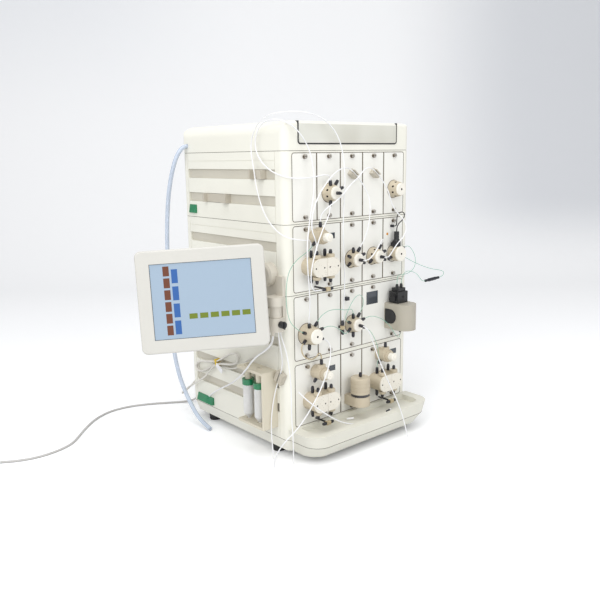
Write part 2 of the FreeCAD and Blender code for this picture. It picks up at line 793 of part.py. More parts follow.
def chassis(row, column, width):
    """Sheet box behind a panel; it stands on the shelf and is open at the back."""
    x0 = col_x(column) - COLUMN_PITCH / 2 + PANEL_GAP
    x1 = col_x(column + width - 1) + COLUMN_PITCH / 2 - PANEL_GAP
    y0 = FRONT_Y + PANEL_THICK
    z0 = row_z(row) - BAY_GAP
    z1 = row_z(row) + PANEL_HEIGHT - CHASSIS_HEAD_ROOM
    outer = box(x0, x1, y0, y0 + CHASSIS_DEPTH, z0, z1)
    inner = box(
        x0 + CHASSIS_WALL,
        x1 - CHASSIS_WALL,
        y0 + CHASSIS_WALL,
        y0 + CHASSIS_DEPTH + 1,
        z0 + CHASSIS_WALL,
        z1 - CHASSIS_WALL,
    )
    return outer.cut(inner).common(bay_space(row))


def bay_space(row):
    """Space that the round corners of a row's bay leave for its chassis boxes."""
    half = COLUMNS * COLUMN_PITCH / 2 - PANEL_GAP / 2 + BAY_GAP
    low = row_z(row) - BAY_GAP
    high = row_z(row) + PANEL_HEIGHT + BAY_GAP
    return front_slab(-half, half, low, high, FRONT_Y, FRONT_Y + CHASSIS_DEPTH + 2 * PANEL_THICK, [BAY_R] * 4)


def screw_places(row, column, width):
    """A thumbscrew at the top of the first column and one at the bottom of the last."""
    top = (col_x(column), row_z(row) + SCREW_HIGH)
    bottom = (col_x(column + width - 1), row_z(row) + SCREW_LOW)
    return [top, bottom]


def thumbscrew(x, z):
    """Knurled head with a driver slot, on a shank through the panel."""
    head = rod(SCREW_R, V(x, FRONT_Y, z), FORWARD, SCREW_HEAD)
    crown = taper(SCREW_R, SCREW_R - 1, V(x, FRONT_Y - SCREW_HEAD, z), FORWARD, 1)
    shank = rod(SCREW_SHANK_R, V(x, FRONT_Y, z), Y_AXIS, SCREW_SHANK)
    end_y = FRONT_Y - SCREW_HEAD
    slot = box(x - SCREW_R, x + SCREW_R, end_y - 2, end_y + 1, z - SCREW_SLOT / 2, z + SCREW_SLOT / 2)
    return head.fuse([crown, shank]).cut(slot)


def pump_centre(row, column):
    return module_centre(column, 2) + PUMP_OFFSET, row_z(row) + PUMP_RISE


def through_holes(row, column, width, kind):
    """Holes in a module's panel and chassis for screws, drives and pistons."""
    depth = PANEL_THICK + CHASSIS_WALL + 2
    holes = []
    for x, z in screw_places(row, column, width):
        holes.append(rod(SCREW_SHANK_R + 0.2, V(x, FRONT_Y - 1, z), Y_AXIS, depth))
    if kind in ("valve", "ph_valve", "inject_valve"):
        centre = V(module_centre(column, width), FRONT_Y - 1, row_z(row) + VALVE_RISE)
        holes.append(rod(DRIVE_HOLE_R, centre, Y_AXIS, depth))
    if kind == "pump":
        x, z = pump_centre(row, column)
        for side in (-1, 1):
            holes.append(rod(PISTON_GUIDE_R + 1, V(x + side * HEAD_PITCH / 2, FRONT_Y - 1, z), Y_AXIS, depth))
    return holes


def window_cut(x, row, edges):
    """Pocket in a panel for a small window; edges are left, right, low and high."""
    left, right, low, high = edges
    return box(x + left, x + right, FRONT_Y - 1, FRONT_Y + GLASS_THICK, row_z(row) + low, row_z(row) + high)


def window_glass(x, row, edges):
    left, right, low, high = edges
    return box(
        x + left + SEAT,
        x + right - SEAT,
        FRONT_Y + 0.1,
        FRONT_Y + GLASS_THICK,
        row_z(row) + low + SEAT,
        row_z(row) + high - SEAT,
    )


PUMP_WINDOW = (WINDOW_LEFT, WINDOW_RIGHT, WINDOW_LOW, WINDOW_HIGH)

for row, column, width, kind in MODULES:
    holes = through_holes(row, column, width, kind)
    centre_x = module_centre(column, width)
    face = panel(row, column, width).cut(holes)
    if kind == "pump":
        face = face.cut(window_cut(centre_x, row, PUMP_WINDOW))
        add("status_windows", window_glass(centre_x, row, PUMP_WINDOW))
    if kind == "detector":
        face = face.cut(window_cut(centre_x, row, UV_WINDOW))
        add("status_windows", window_glass(centre_x, row, UV_WINDOW))
    add("module_panels", face)
    add("module_chassis", chassis(row, column, width).cut(holes))
    add("thumbscrews", *[thumbscrew(x, z) for x, z in screw_places(row, column, width)])

# Fittings: finger-tight nuts, unions and tees

NUT_R = 4.6
NUT_BODY = 9.0
NUT_NOSE = 5.0
NUT_NOSE_R = 3.3
NUT_SHANK = 5.0
NUT_SHANK_R = 2.9
NUT_GAP = 1.1
PORT_R = 3.0
PORT_DEPTH = 7.0
TUBE_BORE_R = 1.7
TUBE_SOCKET = 3.0


def unit(direction):
    length = direction.Length
    return V(direction.x / length, direction.y / length, direction.z / length)


def nut(seat, direction, body=NUT_BODY):
    """Finger-tight nut seated on a port, with a hole in its outer end for the tube."""
    axis = unit(direction)
    shank = rod(NUT_SHANK_R, seat - axis * NUT_SHANK, axis, NUT_SHANK + NUT_GAP + 1)
    barrel = rod(NUT_R, seat + axis * NUT_GAP, axis, body)
    nose = taper(NUT_R, NUT_NOSE_R, seat + axis * (NUT_GAP + body), axis, NUT_NOSE)
    end = nut_end(seat, axis, body)
    socket = rod(TUBE_BORE_R, end - axis * TUBE_SOCKET, axis, TUBE_SOCKET + 1)
    return barrel.fuse([shank, nose]).cut(socket)


def nut_end(seat, direction, body=NUT_BODY):
    """Middle of a nut's outer end face."""
    axis = unit(direction)
    return seat + axis * (NUT_GAP + body + NUT_NOSE)


def port(seat, direction):
    """Hole that takes a nut's shank."""
    axis = unit(direction)
    return rod(PORT_R, seat - axis * PORT_DEPTH, axis, PORT_DEPTH + 2)


# Valves: a tapered head with ports round it and one in the front face

VALVE_BASE_R = 24.5
VALVE_FLANGE = 3.0
VALVE_NECK_R = 19.0
VALVE_LENGTH = 26.0
FACE_DISC_R = 17.5
FACE_DISC_THICK = 4.0
PORT_COUNT = 8
ROTOR_R = 8.0
ROTOR_BORE = 14.0

INJECT_BASE_R = 28.5
INJECT_NECK_R = 22.0
INJECT_LENGTH = 40.0
PH_R = 22.0
PH_LENGTH = 29.0
PH_PORTS = (1, 2, 4, 5, 6)
PH_NUTS = (1, 2, 5)


def port_angle(index):
    """Ports stand between the hours, half a pitch from straight up, clockwise from the front."""
    return radians((index + 0.5) * 360 / PORT_COUNT)


def cone_port(centre, index, base_r, neck_r, length):
    """Seat and direction of a port on a tapered valve head."""
    angle = port_angle(index)
    radial = V(sin(angle), 0, cos(angle))
    share = 0.55
    radius = base_r + (neck_r - base_r) * share
    seat = centre + radial * radius + V(0, -VALVE_FLANGE - (length - VALVE_FLANGE) * share, 0)
    slope = (base_r - neck_r) / (length - VALVE_FLANGE)
    return seat, unit(radial + V(0, -max(slope, 0.35), 0))


def valve_head(centre, base_r, neck_r, length, bore):
    """Tapered head on a flange, with eight ports and a bore for its rotor."""
    flange = rod(base_r, centre, FORWARD, VALVE_FLANGE)
    cone = taper(base_r, neck_r, centre + V(0, -VALVE_FLANGE, 0), FORWARD, length - VALVE_FLANGE)
    tools = [rod(bore, centre, FORWARD, ROTOR_BORE)]
    for index in range(PORT_COUNT):
        seat, direction = cone_port(centre, index, base_r, neck_r, length)
        tools.append(port(seat, direction))
    return flange.fuse(cone).cut(tools).removeSplitter()


def face_disc(centre, radius, length):
    """Pale disc on the front of a head, with a port in its middle."""
    start = centre + V(0, -length, 0)
    disc = rod(radius, start, FORWARD, FACE_DISC_THICK)
    edge = taper(radius, radius - 1.5, start + V(0, -FACE_DISC_THICK, 0), FORWARD, 1.5)
    middle = start + V(0, -FACE_DISC_THICK - 1.5, 0)
    return disc.fuse(edge).cut(rod(PORT_R, middle + V(0, 5, 0), FORWARD, 6)), middle


def valve_centre(row, column):
    return V(col_x(column), FRONT_Y, row_z(row) + VALVE_RISE)


# Row, column, ports that hold a nut, and whether the front port holds one
VALVES = [
    (1, 2, (7, 0, 1, 4), True),
    (1, 5, (), False),
    (2, 3, (7, 0, 1, 2, 5, 6), True),
    (2, 4, (0, 1, 2, 5), True),
    (3, 3, (5, 6, 7, 0, 1, 2, 4), True),
]

for row, column, nuts, front in VALVES:
    centre = valve_centre(row, column)
    add("valve_heads", valve_head(centre, VALVE_BASE_R, VALVE_NECK_R, VALVE_LENGTH, ROTOR_R + 1))
    disc, middle = face_disc(centre, FACE_DISC_R, VALVE_LENGTH)
    add("valve_faces", disc)
    for index in nuts:
        seat, direction = cone_port(centre, index, VALVE_BASE_R, VALVE_NECK_R, VALVE_LENGTH)
        add("fittings", nut(seat, direction))
    if front:
        add("fittings", nut(middle, FORWARD))

PH_CENTRE = valve_centre(2, 5)


def ph_port(index):
    """Ports on the straight side of the electrode valve."""
    angle = port_angle(index)
    radial = V(sin(angle), 0, cos(angle))
    return PH_CENTRE + radial * PH_R + V(0, -PH_LENGTH / 2, 0), radial


ELECTRODE_BASE_R = 12.0
ELECTRODE_BASE = 16.0
ELECTRODE_NECK_R = 7.5
ELECTRODE_NECK = 22.0


def ph_head():
    """Straight round head that carries the electrode on top."""
    body = rod(PH_R, PH_CENTRE, FORWARD, PH_LENGTH)
    pocket = rod(ELECTRODE_BASE_R - 3, PH_CENTRE + V(0, -PH_LENGTH / 2, PH_R - 6), Z_AXIS, 10)
    flat = box(-PH_R, PH_R, -PH_LENGTH - 1, 1, PH_R - 2, PH_R + 2)
    flat.translate(PH_CENTRE)
    tools = [rod(ROTOR_R + 1, PH_CENTRE, FORWARD, ROTOR_BORE), pocket, flat]
    for index in PH_PORTS:
        seat, direction = ph_port(index)
        tools.append(port(seat, direction))
    return body.cut(tools)


def ph_electrode():
    """Black electrode holder: a cap on the valve and a narrower body with a shoulder."""
    foot_z = PH_R - 2
    start = PH_CENTRE + V(0, -PH_LENGTH / 2, foot_z)
    cap = rod(ELECTRODE_BASE_R, start, Z_AXIS, ELECTRODE_BASE)
    plug = rod(ELECTRODE_BASE_R - 3.3, start - V(0, 0, 3.5), Z_AXIS, 4)
    shoulder = taper(ELECTRODE_BASE_R, ELECTRODE_NECK_R, start + V(0, 0, ELECTRODE_BASE), Z_AXIS, 5)
    neck = rod(ELECTRODE_NECK_R, start + V(0, 0, ELECTRODE_BASE + 5), Z_AXIS, ELECTRODE_NECK)
    wing = box(-ELECTRODE_BASE_R - 6, -ELECTRODE_BASE_R + 4, -6, 6, 2, ELECTRODE_BASE - 3)
    wing.translate(start)
    return cap.fuse([plug, shoulder, neck, wing])


add("valve_heads", ph_head())
ph_disc, ph_middle = face_disc(PH_CENTRE, PH_R - 0.5, PH_LENGTH)
add("valve_faces", ph_disc)
add("ph_electrode", ph_electrode())
for index in PH_NUTS:
    add("fittings", nut(*ph_port(index)))

INJECT_CENTRE = valve_centre(3, 1)
INJECT_NUTS = (7, 0, 1, 2, 4, 5, 6)


def inject_rotor():
    """Rotor that turns in the inject valve to pass or by-pass the sample loop."""
    start = INJECT_CENTRE + V(0, CHASSIS_WALL + PANEL_THICK + 10, 0)
    length = CHASSIS_WALL + PANEL_THICK + 10 + ROTOR_BORE - 1
    shaft = rod(ROTOR_R, start, FORWARD, length)
    key = box(-ROTOR_R - 4, ROTOR_R + 4, 0, 6, -3, 3)
    key.translate(INJECT_CENTRE + V(0, CHASSIS_WALL + PANEL_THICK + 4, 0))
    return shaft.fuse(key)


add("valve_heads", valve_head(INJECT_CENTRE, INJECT_BASE_R, INJECT_NECK_R, INJECT_LENGTH, ROTOR_R + RUNNING))
add("inject_valve_rotor", inject_rotor())
inject_disc, inject_middle = face_disc(INJECT_CENTRE, INJECT_NECK_R - 2, INJECT_LENGTH)
add("valve_faces", inject_disc)
for index in INJECT_NUTS:
    seat, direction = cone_port(INJECT_CENTRE, index, INJECT_BASE_R, INJECT_NECK_R, INJECT_LENGTH)
    add("fittings", nut(seat, direction))

# Pumps: a purge valve above a twin head with check valves over and under it

HEAD_HALF_WIDTH = 46.5
HEAD_HALF_HEIGHT = 24.0
HEAD_DEPTH = 46.0
HEAD_PLATE = 4.0
HEAD_SCREW_R = 2.2
HEAD_SCREW_SPREAD = 14.5
CHECK_FRONT = 36.0
CHECK_BACK = 14.0
CHECK_CAP_R = 11.0
CHECK_CAP_HEIGHT = 8.5
PURGE_RISE = 142.0
PURGE_R = 19.0
PURGE_DEPTH = 36.0
PURGE_RING_R = 15.5
PURGE_RING = 8.0
PURGE_KNOB_R = 11.5
PURGE_KNOB = 17.0
PURGE_STEM_R = 3.0
COLLAR_R = 11.5
COLLAR_Y = 24.0
COLLAR_HEIGHT = 8.0
PISTON_R = 2.0
PISTON_LENGTH = 34.0
PISTON_STROKE = 6.0
FOLLOWER_R = 7.0
TEE_Y = 49.0
TEE_RISE = 8.0
TEE_HALF = 7.0
TEE_STALK_R = 2.5

PUMPS = [("pump_1", 2, 1), ("pump_2", 4, 1), ("pump_3", 4, 4)]


def pump_head(x, z):
    """Tan block behind the plate, with piston bores and ports over and under each head."""
    block = front_slab(
        x - HEAD_HALF_WIDTH,
        x + HEAD_HALF_WIDTH,
        z - HEAD_HALF_HEIGHT,
        z + HEAD_HALF_HEIGHT,
        FRONT_Y - HEAD_DEPTH,
        FRONT_Y,
        [HEAD_HALF_HEIGHT - 1] * 4,
    )
    tools = []
    for side in (-1, 1):
        head_x = x + side * HEAD_PITCH / 2
        tools.append(rod(PISTON_BORE_R, V(head_x, FRONT_Y + 1, z), FORWARD, HEAD_DEPTH - 5))
        tools.append(rod(PISTON_GUIDE_R, V(head_x, FRONT_Y + 1, z), FORWARD, 10))
        for up in (-1, 1):
            seat = V(head_x, FRONT_Y - CHECK_BACK, z + up * HEAD_HALF_HEIGHT)
            tools.append(port(seat, V(0, 0, up)))
    return block.cut(tools)


def head_plate(x, z):
    """Speckled front plate, split down the middle, with a screw each side of each head."""
    y1 = FRONT_Y - HEAD_DEPTH
    plate = front_slab(
        x - HEAD_HALF_WIDTH,
        x + HEAD_HALF_WIDTH,
        z - HEAD_HALF_HEIGHT,
        z + HEAD_HALF_HEIGHT,
        y1 - HEAD_PLATE,
        y1,
        [HEAD_HALF_HEIGHT - 1] * 4,
    )
    split = box(x - 0.4, x + 0.4, y1 - HEAD_PLATE - 1, y1 - HEAD_PLATE + 1, z - 50, z + 50)
    holes = []
    for side in (-1, 1):
        for spread in (-1, 1):
            screw_x = x + side * HEAD_PITCH / 2 + spread * HEAD_SCREW_SPREAD
            holes.append(rod(HEAD_SCREW_R, V(screw_x, y1 - HEAD_PLATE - 1, z), Y_AXIS, 3.5))
    return plate.cut(holes + [split])


def check_cap(x, z, up):
    """Cap of a check valve, with a port in its end."""
    start = V(x, FRONT_Y - CHECK_FRONT, z + up * HEAD_HALF_HEIGHT)
    axis = V(0, 0, up)
    cap = rod(CHECK_CAP_R, start, axis, CHECK_CAP_HEIGHT - 2)
    crown = taper(CHECK_CAP_R, CHECK_CAP_R - 2, start + axis * (CHECK_CAP_HEIGHT - 2), axis, 2)
    seat = start + axis * CHECK_CAP_HEIGHT
    return cap.fuse(crown).cut(port(seat, axis)), seat


def purge_body(x, z):
    """Round purge valve body with its collar on top and a pale ring in front."""
    centre = V(x, FRONT_Y, z)
    body = rod(PURGE_R, centre, FORWARD, PURGE_DEPTH)
    collar_foot = V(x, FRONT_Y - COLLAR_Y, z + 8)
    collar = rod(COLLAR_R, collar_foot, Z_AXIS, PURGE_R - 8 + COLLAR_HEIGHT - 3)
    seat = V(x, FRONT_Y - COLLAR_Y, z + PURGE_R + COLLAR_HEIGHT - 3)
    side = V(-sin(radians(45)), 0, -sin(radians(45)))
    side_seat = centre + V(0, -PURGE_DEPTH / 2, 0) + side * PURGE_R
    stem_bore = rod(PURGE_STEM_R + RUNNING, centre + V(0, -PURGE_DEPTH + 12, 0), FORWARD, 30)
    ring_start = centre + V(0, -PURGE_DEPTH, 0)
    lip = rod(PURGE_RING_R, ring_start, FORWARD, PURGE_RING)
    solid = body.fuse([collar, lip]).cut([port(seat, Z_AXIS), port(side_seat, side), stem_bore])
    return solid.removeSplitter(), seat, side_seat, side


def purge_knob(x, z):
    """Turning knob on a stem that runs in the purge body."""
    start = V(x, FRONT_Y - PURGE_DEPTH - PURGE_RING - SEAT, z)
    grip = rod(PURGE_KNOB_R, start, FORWARD, PURGE_KNOB - 2)
    flutes = []
    count = 12
    for i in range(count):
        angle = 2 * pi * i / count
        foot = start + V(cos(angle), 0, sin(angle)) * (PURGE_KNOB_R + 1) + V(0, -3, 0)
        flutes.append(rod(1.8, foot, FORWARD, PURGE_KNOB))
    crown = taper(PURGE_KNOB_R, PURGE_KNOB_R - 2, start + V(0, -PURGE_KNOB + 2, 0), FORWARD, 2)
    stem = rod(PURGE_STEM_R, start + V(0, PURGE_RING + 11, 0), FORWARD, PURGE_RING + 12)
    nub = rod(3.5, start + V(0, -PURGE_KNOB, 0), FORWARD, 2)
    return grip.fuse([crown, nub]).cut(flutes).fuse(stem)


def piston(x, z):
    """Rod with a follower at its drive end."""
    tip_y = FRONT_Y - HEAD_DEPTH + 5 + PISTON_STROKE + 2
    shaft = rod(PISTON_R, V(x, tip_y, z), Y_AXIS, PISTON_LENGTH)
    follower = rod(FOLLOWER_R, V(x, tip_y + PISTON_LENGTH, z), Y_AXIS, 10)
    return shaft.fuse(follower)


def tee(centre):
    """Small three-way block with a port each side, on a stalk from the panel."""
    block = box(-TEE_HALF, TEE_HALF, -5, 5, -5, 5)
    block.translate(centre)
    waist = ring(12, 5.6, centre - V(2.5, 0, 0), X_AXIS, 5)
    tools = [port(centre + V(side * TEE_HALF, 0, 0), V(side, 0, 0)) for side in (-1, 1)]
    tools.append(waist)
    stalk = rod(TEE_STALK_R, centre + V(0, 4, 0), Y_AXIS, TEE_Y - 4)
    return block.cut(tools).fuse(stalk)


CHECK_SEATS = {}
PURGE_SEATS = {}
TEES = {}
for name, row, column in PUMPS:
    pump_x, pump_z = pump_centre(row, column)
    add("pump_heads", pump_head(pump_x, pump_z))
    add("pump_head_plates", head_plate(pump_x, pump_z))
    body, top_seat, side_seat, side = purge_body(pump_x, row_z(row) + PURGE_RISE)
    add("pump_valve_bodies", body)
    add("fittings", nut(top_seat, Z_AXIS), nut(side_seat, side, 6))
    PURGE_SEATS[name] = (top_seat, side_seat, side)
    add(name + "_purge_knob", purge_knob(pump_x, row_z(row) + PURGE_RISE))
    for side in (-1, 1):
        head_x = pump_x + side * HEAD_PITCH / 2
        add("pump_pistons_left" if side < 0 else "pump_pistons_right", piston(head_x, pump_z))
        for up in (-1, 1):
            cap, seat = check_cap(head_x, pump_z, up)
            add("pump_valve_bodies", cap)
            add("fittings", nut(seat, V(0, 0, up), 5))
            CHECK_SEATS[(name, side, up)] = seat
            back_seat = V(head_x, FRONT_Y - CHECK_BACK, pump_z + up * HEAD_HALF_HEIGHT)
            add("fittings", nut(back_seat, V(0, 0, up), 13))
    tee_centre = V(pump_x, FRONT_Y - TEE_Y, row_z(row) + TEE_RISE)
    TEES[name] = tee_centre
    add("fittings", tee(tee_centre))
    for side in (-1, 1):
        add("fittings", nut(tee_centre + V(side * TEE_HALF, 0, 0), V(side, 0, 0), 6))

# Union on a short stand-off beside the lower middle valve, and a blanking block above it

UNION = V(col_x(3) - 48.0, FRONT_Y - 14.0, row_z(3) + 67.5)
UNION_SIDE = 9.0
UNION_HALF_HEIGHT = 5.0
STOP_BLOCK = V(col_x(3) - 22.0, FRONT_Y, row_z(3) + 143.5)
STOP_BLOCK_SIDE = 10.0


def union():
    """Small square union held off the panel, with a port over and under it."""
    half = UNION_SIDE / 2
    body = box(-half, half, -half, half, -UNION_HALF_HEIGHT, UNION_HALF_HEIGHT)
    stand = box(-3, 3, half - 1, FRONT_Y - UNION.y, -3, 3)
    whole = body.fuse(stand)
    whole.translate(UNION)
    return whole.cut([port(UNION + V(0, 0, up * UNION_HALF_HEIGHT), V(0, 0, up)) for up in (-1, 1)])


def stop_block():
    """Black block on the panel with one nut in its lower face."""
    half = STOP_BLOCK_SIDE / 2
    body = box(-half, half, -STOP_BLOCK_SIDE, 0, -half, half)
    body.translate(STOP_BLOCK)
    return body


UNION_SEATS = [UNION + V(0, 0, up * UNION_HALF_HEIGHT) for up in (1, -1)]
add("fittings", union(), stop_block(), nut(UNION_SEATS[0], Z_AXIS), nut(UNION_SEATS[1], DOWN))

# Mixer

MIXER_X = 0.0
MIXER_Y = 36.0
MIXER_R = 27.5
MIXER_LOW = 22.0
MIXER_BAND_LOW = 50.0
MIXER_BAND_HIGH = 58.0
MIXER_TOP = 104.0
MIXER_RIDGE = 1.0
CHAMBER_R = 17.0
STIRRER_R = 14.0
STIRRER_PIN_R = 2.0


def mixer_parts():
    """Lower drive housing against the panel, dark band and ridged upper chamber."""
    base_z = row_z(4)
    axis_y = FRONT_Y - MIXER_Y
    foot = V(MIXER_X, axis_y, base_z)
    low = rod(MIXER_R, foot + V(0, 0, MIXER_LOW), Z_AXIS, MIXER_BAND_LOW - MIXER_LOW)
    back = box(-MIXER_R, MIXER_R, axis_y, FRONT_Y, base_z + MIXER_LOW, base_z + MIXER_BAND_LOW)
    housing = low.fuse(back).removeSplitter()
    pin = rod(STIRRER_PIN_R, foot + V(0, 0, MIXER_BAND_LOW - 1), Z_AXIS, 12)
    band = rod(MIXER_R - 1.5, foot + V(0, 0, MIXER_BAND_LOW), Z_AXIS, MIXER_BAND_HIGH - MIXER_BAND_LOW)
    upper_height = MIXER_TOP - MIXER_BAND_HIGH
    upper = rod(MIXER_R, foot + V(0, 0, MIXER_BAND_HIGH), Z_AXIS, upper_height - 3)
    crown = taper(MIXER_R, MIXER_R - 3, foot + V(0, 0, MIXER_TOP - 3), Z_AXIS, 3)
    tools = []
    for share in (0.18, 0.42, 0.66):
        ridge_z = MIXER_BAND_HIGH + upper_height * share
        tools.append(ring(MIXER_R + 1, MIXER_R - MIXER_RIDGE, foot + V(0, 0, ridge_z), Z_AXIS, 2))
    tools.append(rod(CHAMBER_R, foot + V(0, 0, MIXER_BAND_HIGH - 1), Z_AXIS, upper_height - 9))
    top_seat = foot + V(0, 0, MIXER_TOP)
    tools.append(port(top_seat, Z_AXIS))
    chamber = upper.fuse(crown).cut(tools)
    return housing.fuse(pin), band, chamber, top_seat


def mixer_stirrer():
    """Stirring bar on a hub that turns on the housing's pin."""
    foot = V(MIXER_X, FRONT_Y - MIXER_Y, row_z(4) + MIXER_BAND_HIGH + 0.5)
    hub = rod(4.5, foot, Z_AXIS, 5)
    bar = box(-STIRRER_R, STIRRER_R, -2.5, 2.5, 0, 4)
    bar.translate(foot)
    return hub.fuse(bar).cut(rod(STIRRER_PIN_R + RUNNING, foot - V(0, 0, 1), Z_AXIS, 8))


mixer_housing, mixer_band, mixer_chamber, mixer_seat = mixer_parts()
add("mixer_housing", mixer_housing.fuse([mixer_band, mixer_chamber]))
add("mixer_stirrer", mixer_stirrer())
add("fittings", nut(mixer_seat, Z_AXIS, 7))

# Detector: lamp housing on the panel, with the flow cell block lifted out upwards

UV_X = col_x(5)
UV_HALF = 32.5
UV_LOW = 33.0
UV_HIGH = 108.5
UV_STRAIGHT = 50.0
UV_POCKET_DEPTH = 24.0
UV_POCKET_X = 17.0
CELL_HIGH = 34.0
CELL_X = 21.0
CELL_FRONT = 42.0
CELL_BACK = 8.0
CELL_STEP = 15.0
CELL_PORT_Y = 33.0
SHUTTER_RISE = 71.0
SHUTTER_R = 21.0
SHUTTER_Y = 24.0
SHUTTER_PROUD = 1.5


def detector_housing():
    """Tan housing, straight off the panel and round in front, with a pocket for the cell."""
    z0 = row_z(3) + UV_LOW
    z1 = row_z(3) + UV_HIGH
    straight = box(UV_X - UV_HALF, UV_X + UV_HALF, FRONT_Y - UV_STRAIGHT, FRONT_Y, z0, z1)
    nose = rod(UV_HALF, V(UV_X, FRONT_Y - UV_STRAIGHT, z0), Z_AXIS, z1 - z0)
    pocket = box(
        UV_X - UV_POCKET_X - SEAT,
        UV_X + UV_POCKET_X + SEAT,
        FRONT_Y - CELL_FRONT + 4 - SEAT,
        FRONT_Y - CELL_BACK - 4 + SEAT,
        z1 - UV_POCKET_DEPTH,
        z1 + 1,
    )
    bottom_seat = V(UV_X, FRONT_Y - CELL_PORT_Y, z0)
    body = straight.fuse([nose, shutter_plate()]).cut([pocket, port(bottom_seat, DOWN)])
    return body.removeSplitter(), bottom_seat


def shutter_plate():
    """D-shaped plate on the housing's left side."""
    x0 = UV_X - UV_HALF - SHUTTER_PROUD
    y = FRONT_Y - SHUTTER_Y
    z = row_z(3) + SHUTTER_RISE
    disc = rod(SHUTTER_R, V(x0, y, z), X_AXIS, SHUTTER_PROUD)
    half = box(x0, x0 + SHUTTER_PROUD, y, FRONT_Y - 4, z - SHUTTER_R, z + SHUTTER_R)
    return disc.fuse(half)


def flow_cell():
    """Black cell block: a foot in the housing's pocket, a body over it and a narrower top."""
    z1 = row_z(3) + UV_HIGH
    foot = box(
        UV_X - UV_POCKET_X,
        UV_X + UV_POCKET_X,
        FRONT_Y - CELL_FRONT + 4,
        FRONT_Y - CELL_BACK - 4,
        z1 - UV_POCKET_DEPTH + SEAT,
        z1 + 1,
    )
    body = box(
        UV_X - CELL_X, UV_X + CELL_X, FRONT_Y - CELL_FRONT, FRONT_Y - CELL_BACK, z1 + SEAT, z1 + CELL_HIGH
    )
    ears = box(
        UV_X - CELL_X - 4, UV_X + CELL_X + 4, FRONT_Y - 34, FRONT_Y - 20, z1 + 8, z1 + CELL_HIGH - 9
    )
    step_z = z1 + CELL_HIGH
    top = box(
        UV_X - CELL_STEP,
        UV_X + CELL_STEP,
        FRONT_Y - CELL_FRONT + 4,
        FRONT_Y - CELL_BACK - 4,
        step_z - 1,
        step_z + 10,
    )
    key = rod(4, V(UV_X + 4, FRONT_Y - CELL_FRONT, z1 + 18), FORWARD, 2)
    seats = [V(UV_X + dx, FRONT_Y - 27, z1 + CELL_HIGH + 10) for dx in (-9, 9)]
    block = foot.fuse([body, ears, top, key])
    return block.cut([port(seat, Z_AXIS) for seat in seats]).removeSplitter(), seats


detector, detector_seat = detector_housing()
add("detector_housing", detector)
add("fittings", nut(detector_seat, DOWN, 6))
cell, cell_seats = flow_cell()
add("flow_cell", cell)
add("flow_cell", *[nut(seat, Z_AXIS, 5) for seat in cell_seats])

# Tube clips on the front and rail clips on the side

CLIP_LENGTH = 22.0
CLIP_WIDTH = 18.0
CLIP_DEPTH = 20.0
CLIP_LEAN = 40.0
CLIP_MOUTH = 6.0


def front_clip(x, z):
    """Tan saddle clip on a panel: two jaws either side of a groove that leans with its tube."""
    body = box(-CLIP_LENGTH / 2, CLIP_LENGTH / 2, -CLIP_DEPTH, 0, -CLIP_WIDTH / 2, CLIP_WIDTH / 2)
    groove = rod(4.5, V(-CLIP_LENGTH, -CLIP_DEPTH + 4, 0), X_AXIS, 2 * CLIP_LENGTH)
    half_mouth = CLIP_MOUTH / 2
    mouth = box(-CLIP_LENGTH, CLIP_LENGTH, -CLIP_DEPTH - 1, -CLIP_DEPTH + 4, -half_mouth, half_mouth)
    step = box(-CLIP_LENGTH, CLIP_LENGTH, -CLIP_DEPTH - 1, -9, CLIP_WIDTH / 2 - 3, CLIP_WIDTH)
    ridges = [
        box(-CLIP_LENGTH, CLIP_LENGTH, -CLIP_DEPTH - 1, -CLIP_DEPTH + 0.8, -low - 0.8, -low)
        for low in (half_mouth + 1.6, half_mouth + 3.8)
    ]
    clip = body.cut([groove, mouth, step] + ridges)
    clip.rotate(V(0, 0, 0), Y_AXIS, CLIP_LEAN)
    clip.translate(V(x, FRONT_Y, z))
    return clip


def rail_clip(y0, y1, band_z, reach):
    """Tan clip that hooks in a side band, with two fingers that stand off the rail."""
    rail_x = -HALF_WIDTH + BAND_DEPTH - RAIL_THICK
    z0 = band_z + 1
    z1 = band_z + BAND_HEIGHT - 1
    base = box(rail_x - 7, rail_x, y0, y1, z0, z1)
    finger = min(16, (y1 - y0) / 3)
    arms = [
        box(rail_x - reach, rail_x - 6, y0, y0 + finger, z0, z1),
        box(rail_x - reach, rail_x - 6, y1 - finger / 2, y1, z0, z1),
        box(rail_x - reach, rail_x - reach + 4, y0, y0 + finger + 8, z0, z1 - 6),
    ]
    return base.fuse(arms).removeSplitter()


UPPER_BAND_1 = row_z(1) + BAND_HIGH
UPPER_BAND_2 = row_z(1) + BAND_LOW
POST_CLIP_Z = 230.0
POST_CLIP_Y = -214.5
POST_CLIP_LEAN = 25.0


def post_clip():
    """Tan clip on the corner post, leaning with the tube that it holds."""
    body = box(-14, 0, -14, 14, -16, 16)
    groove = rod(4, V(-10, 0, -30), Z_AXIS, 60)
    mouth = box(-15, -10, -2.5, 2.5, -30, 30)
    clip = body.cut([groove, mouth])
    clip.rotate(V(0, 0, 0), X_AXIS, POST_CLIP_LEAN)
    clip.translate(V(-HALF_WIDTH, POST_CLIP_Y, POST_CLIP_Z))
    return clip


FRONT_CLIP_RISE = 114.5
for column in (3, 4):
    add("tube_clips", front_clip(col_x(column) - 2.0, row_z(1) + FRONT_CLIP_RISE))
add("tube_clips", rail_clip(-159.0, -106.0, UPPER_BAND_1, 20.0), rail_clip(2.0, 116.0, UPPER_BAND_2, 18.0))
add("tube_clips", post_clip())


def side_tab(y0, y1, z0, z1, thick):
    """Green pull tab let flat on the side, thicker at its lower edge."""
    x0 = -HALF_WIDTH
    profile = [V(x0, y0, z0), V(x0 - thick, y0, z0), V(x0 - thick / 3, y0, z1), V(x0, y0, z1), V(x0, y0, z0)]
    return Part.Face(Part.makePolygon(profile)).extrude(V(0, y1 - y0, 0))


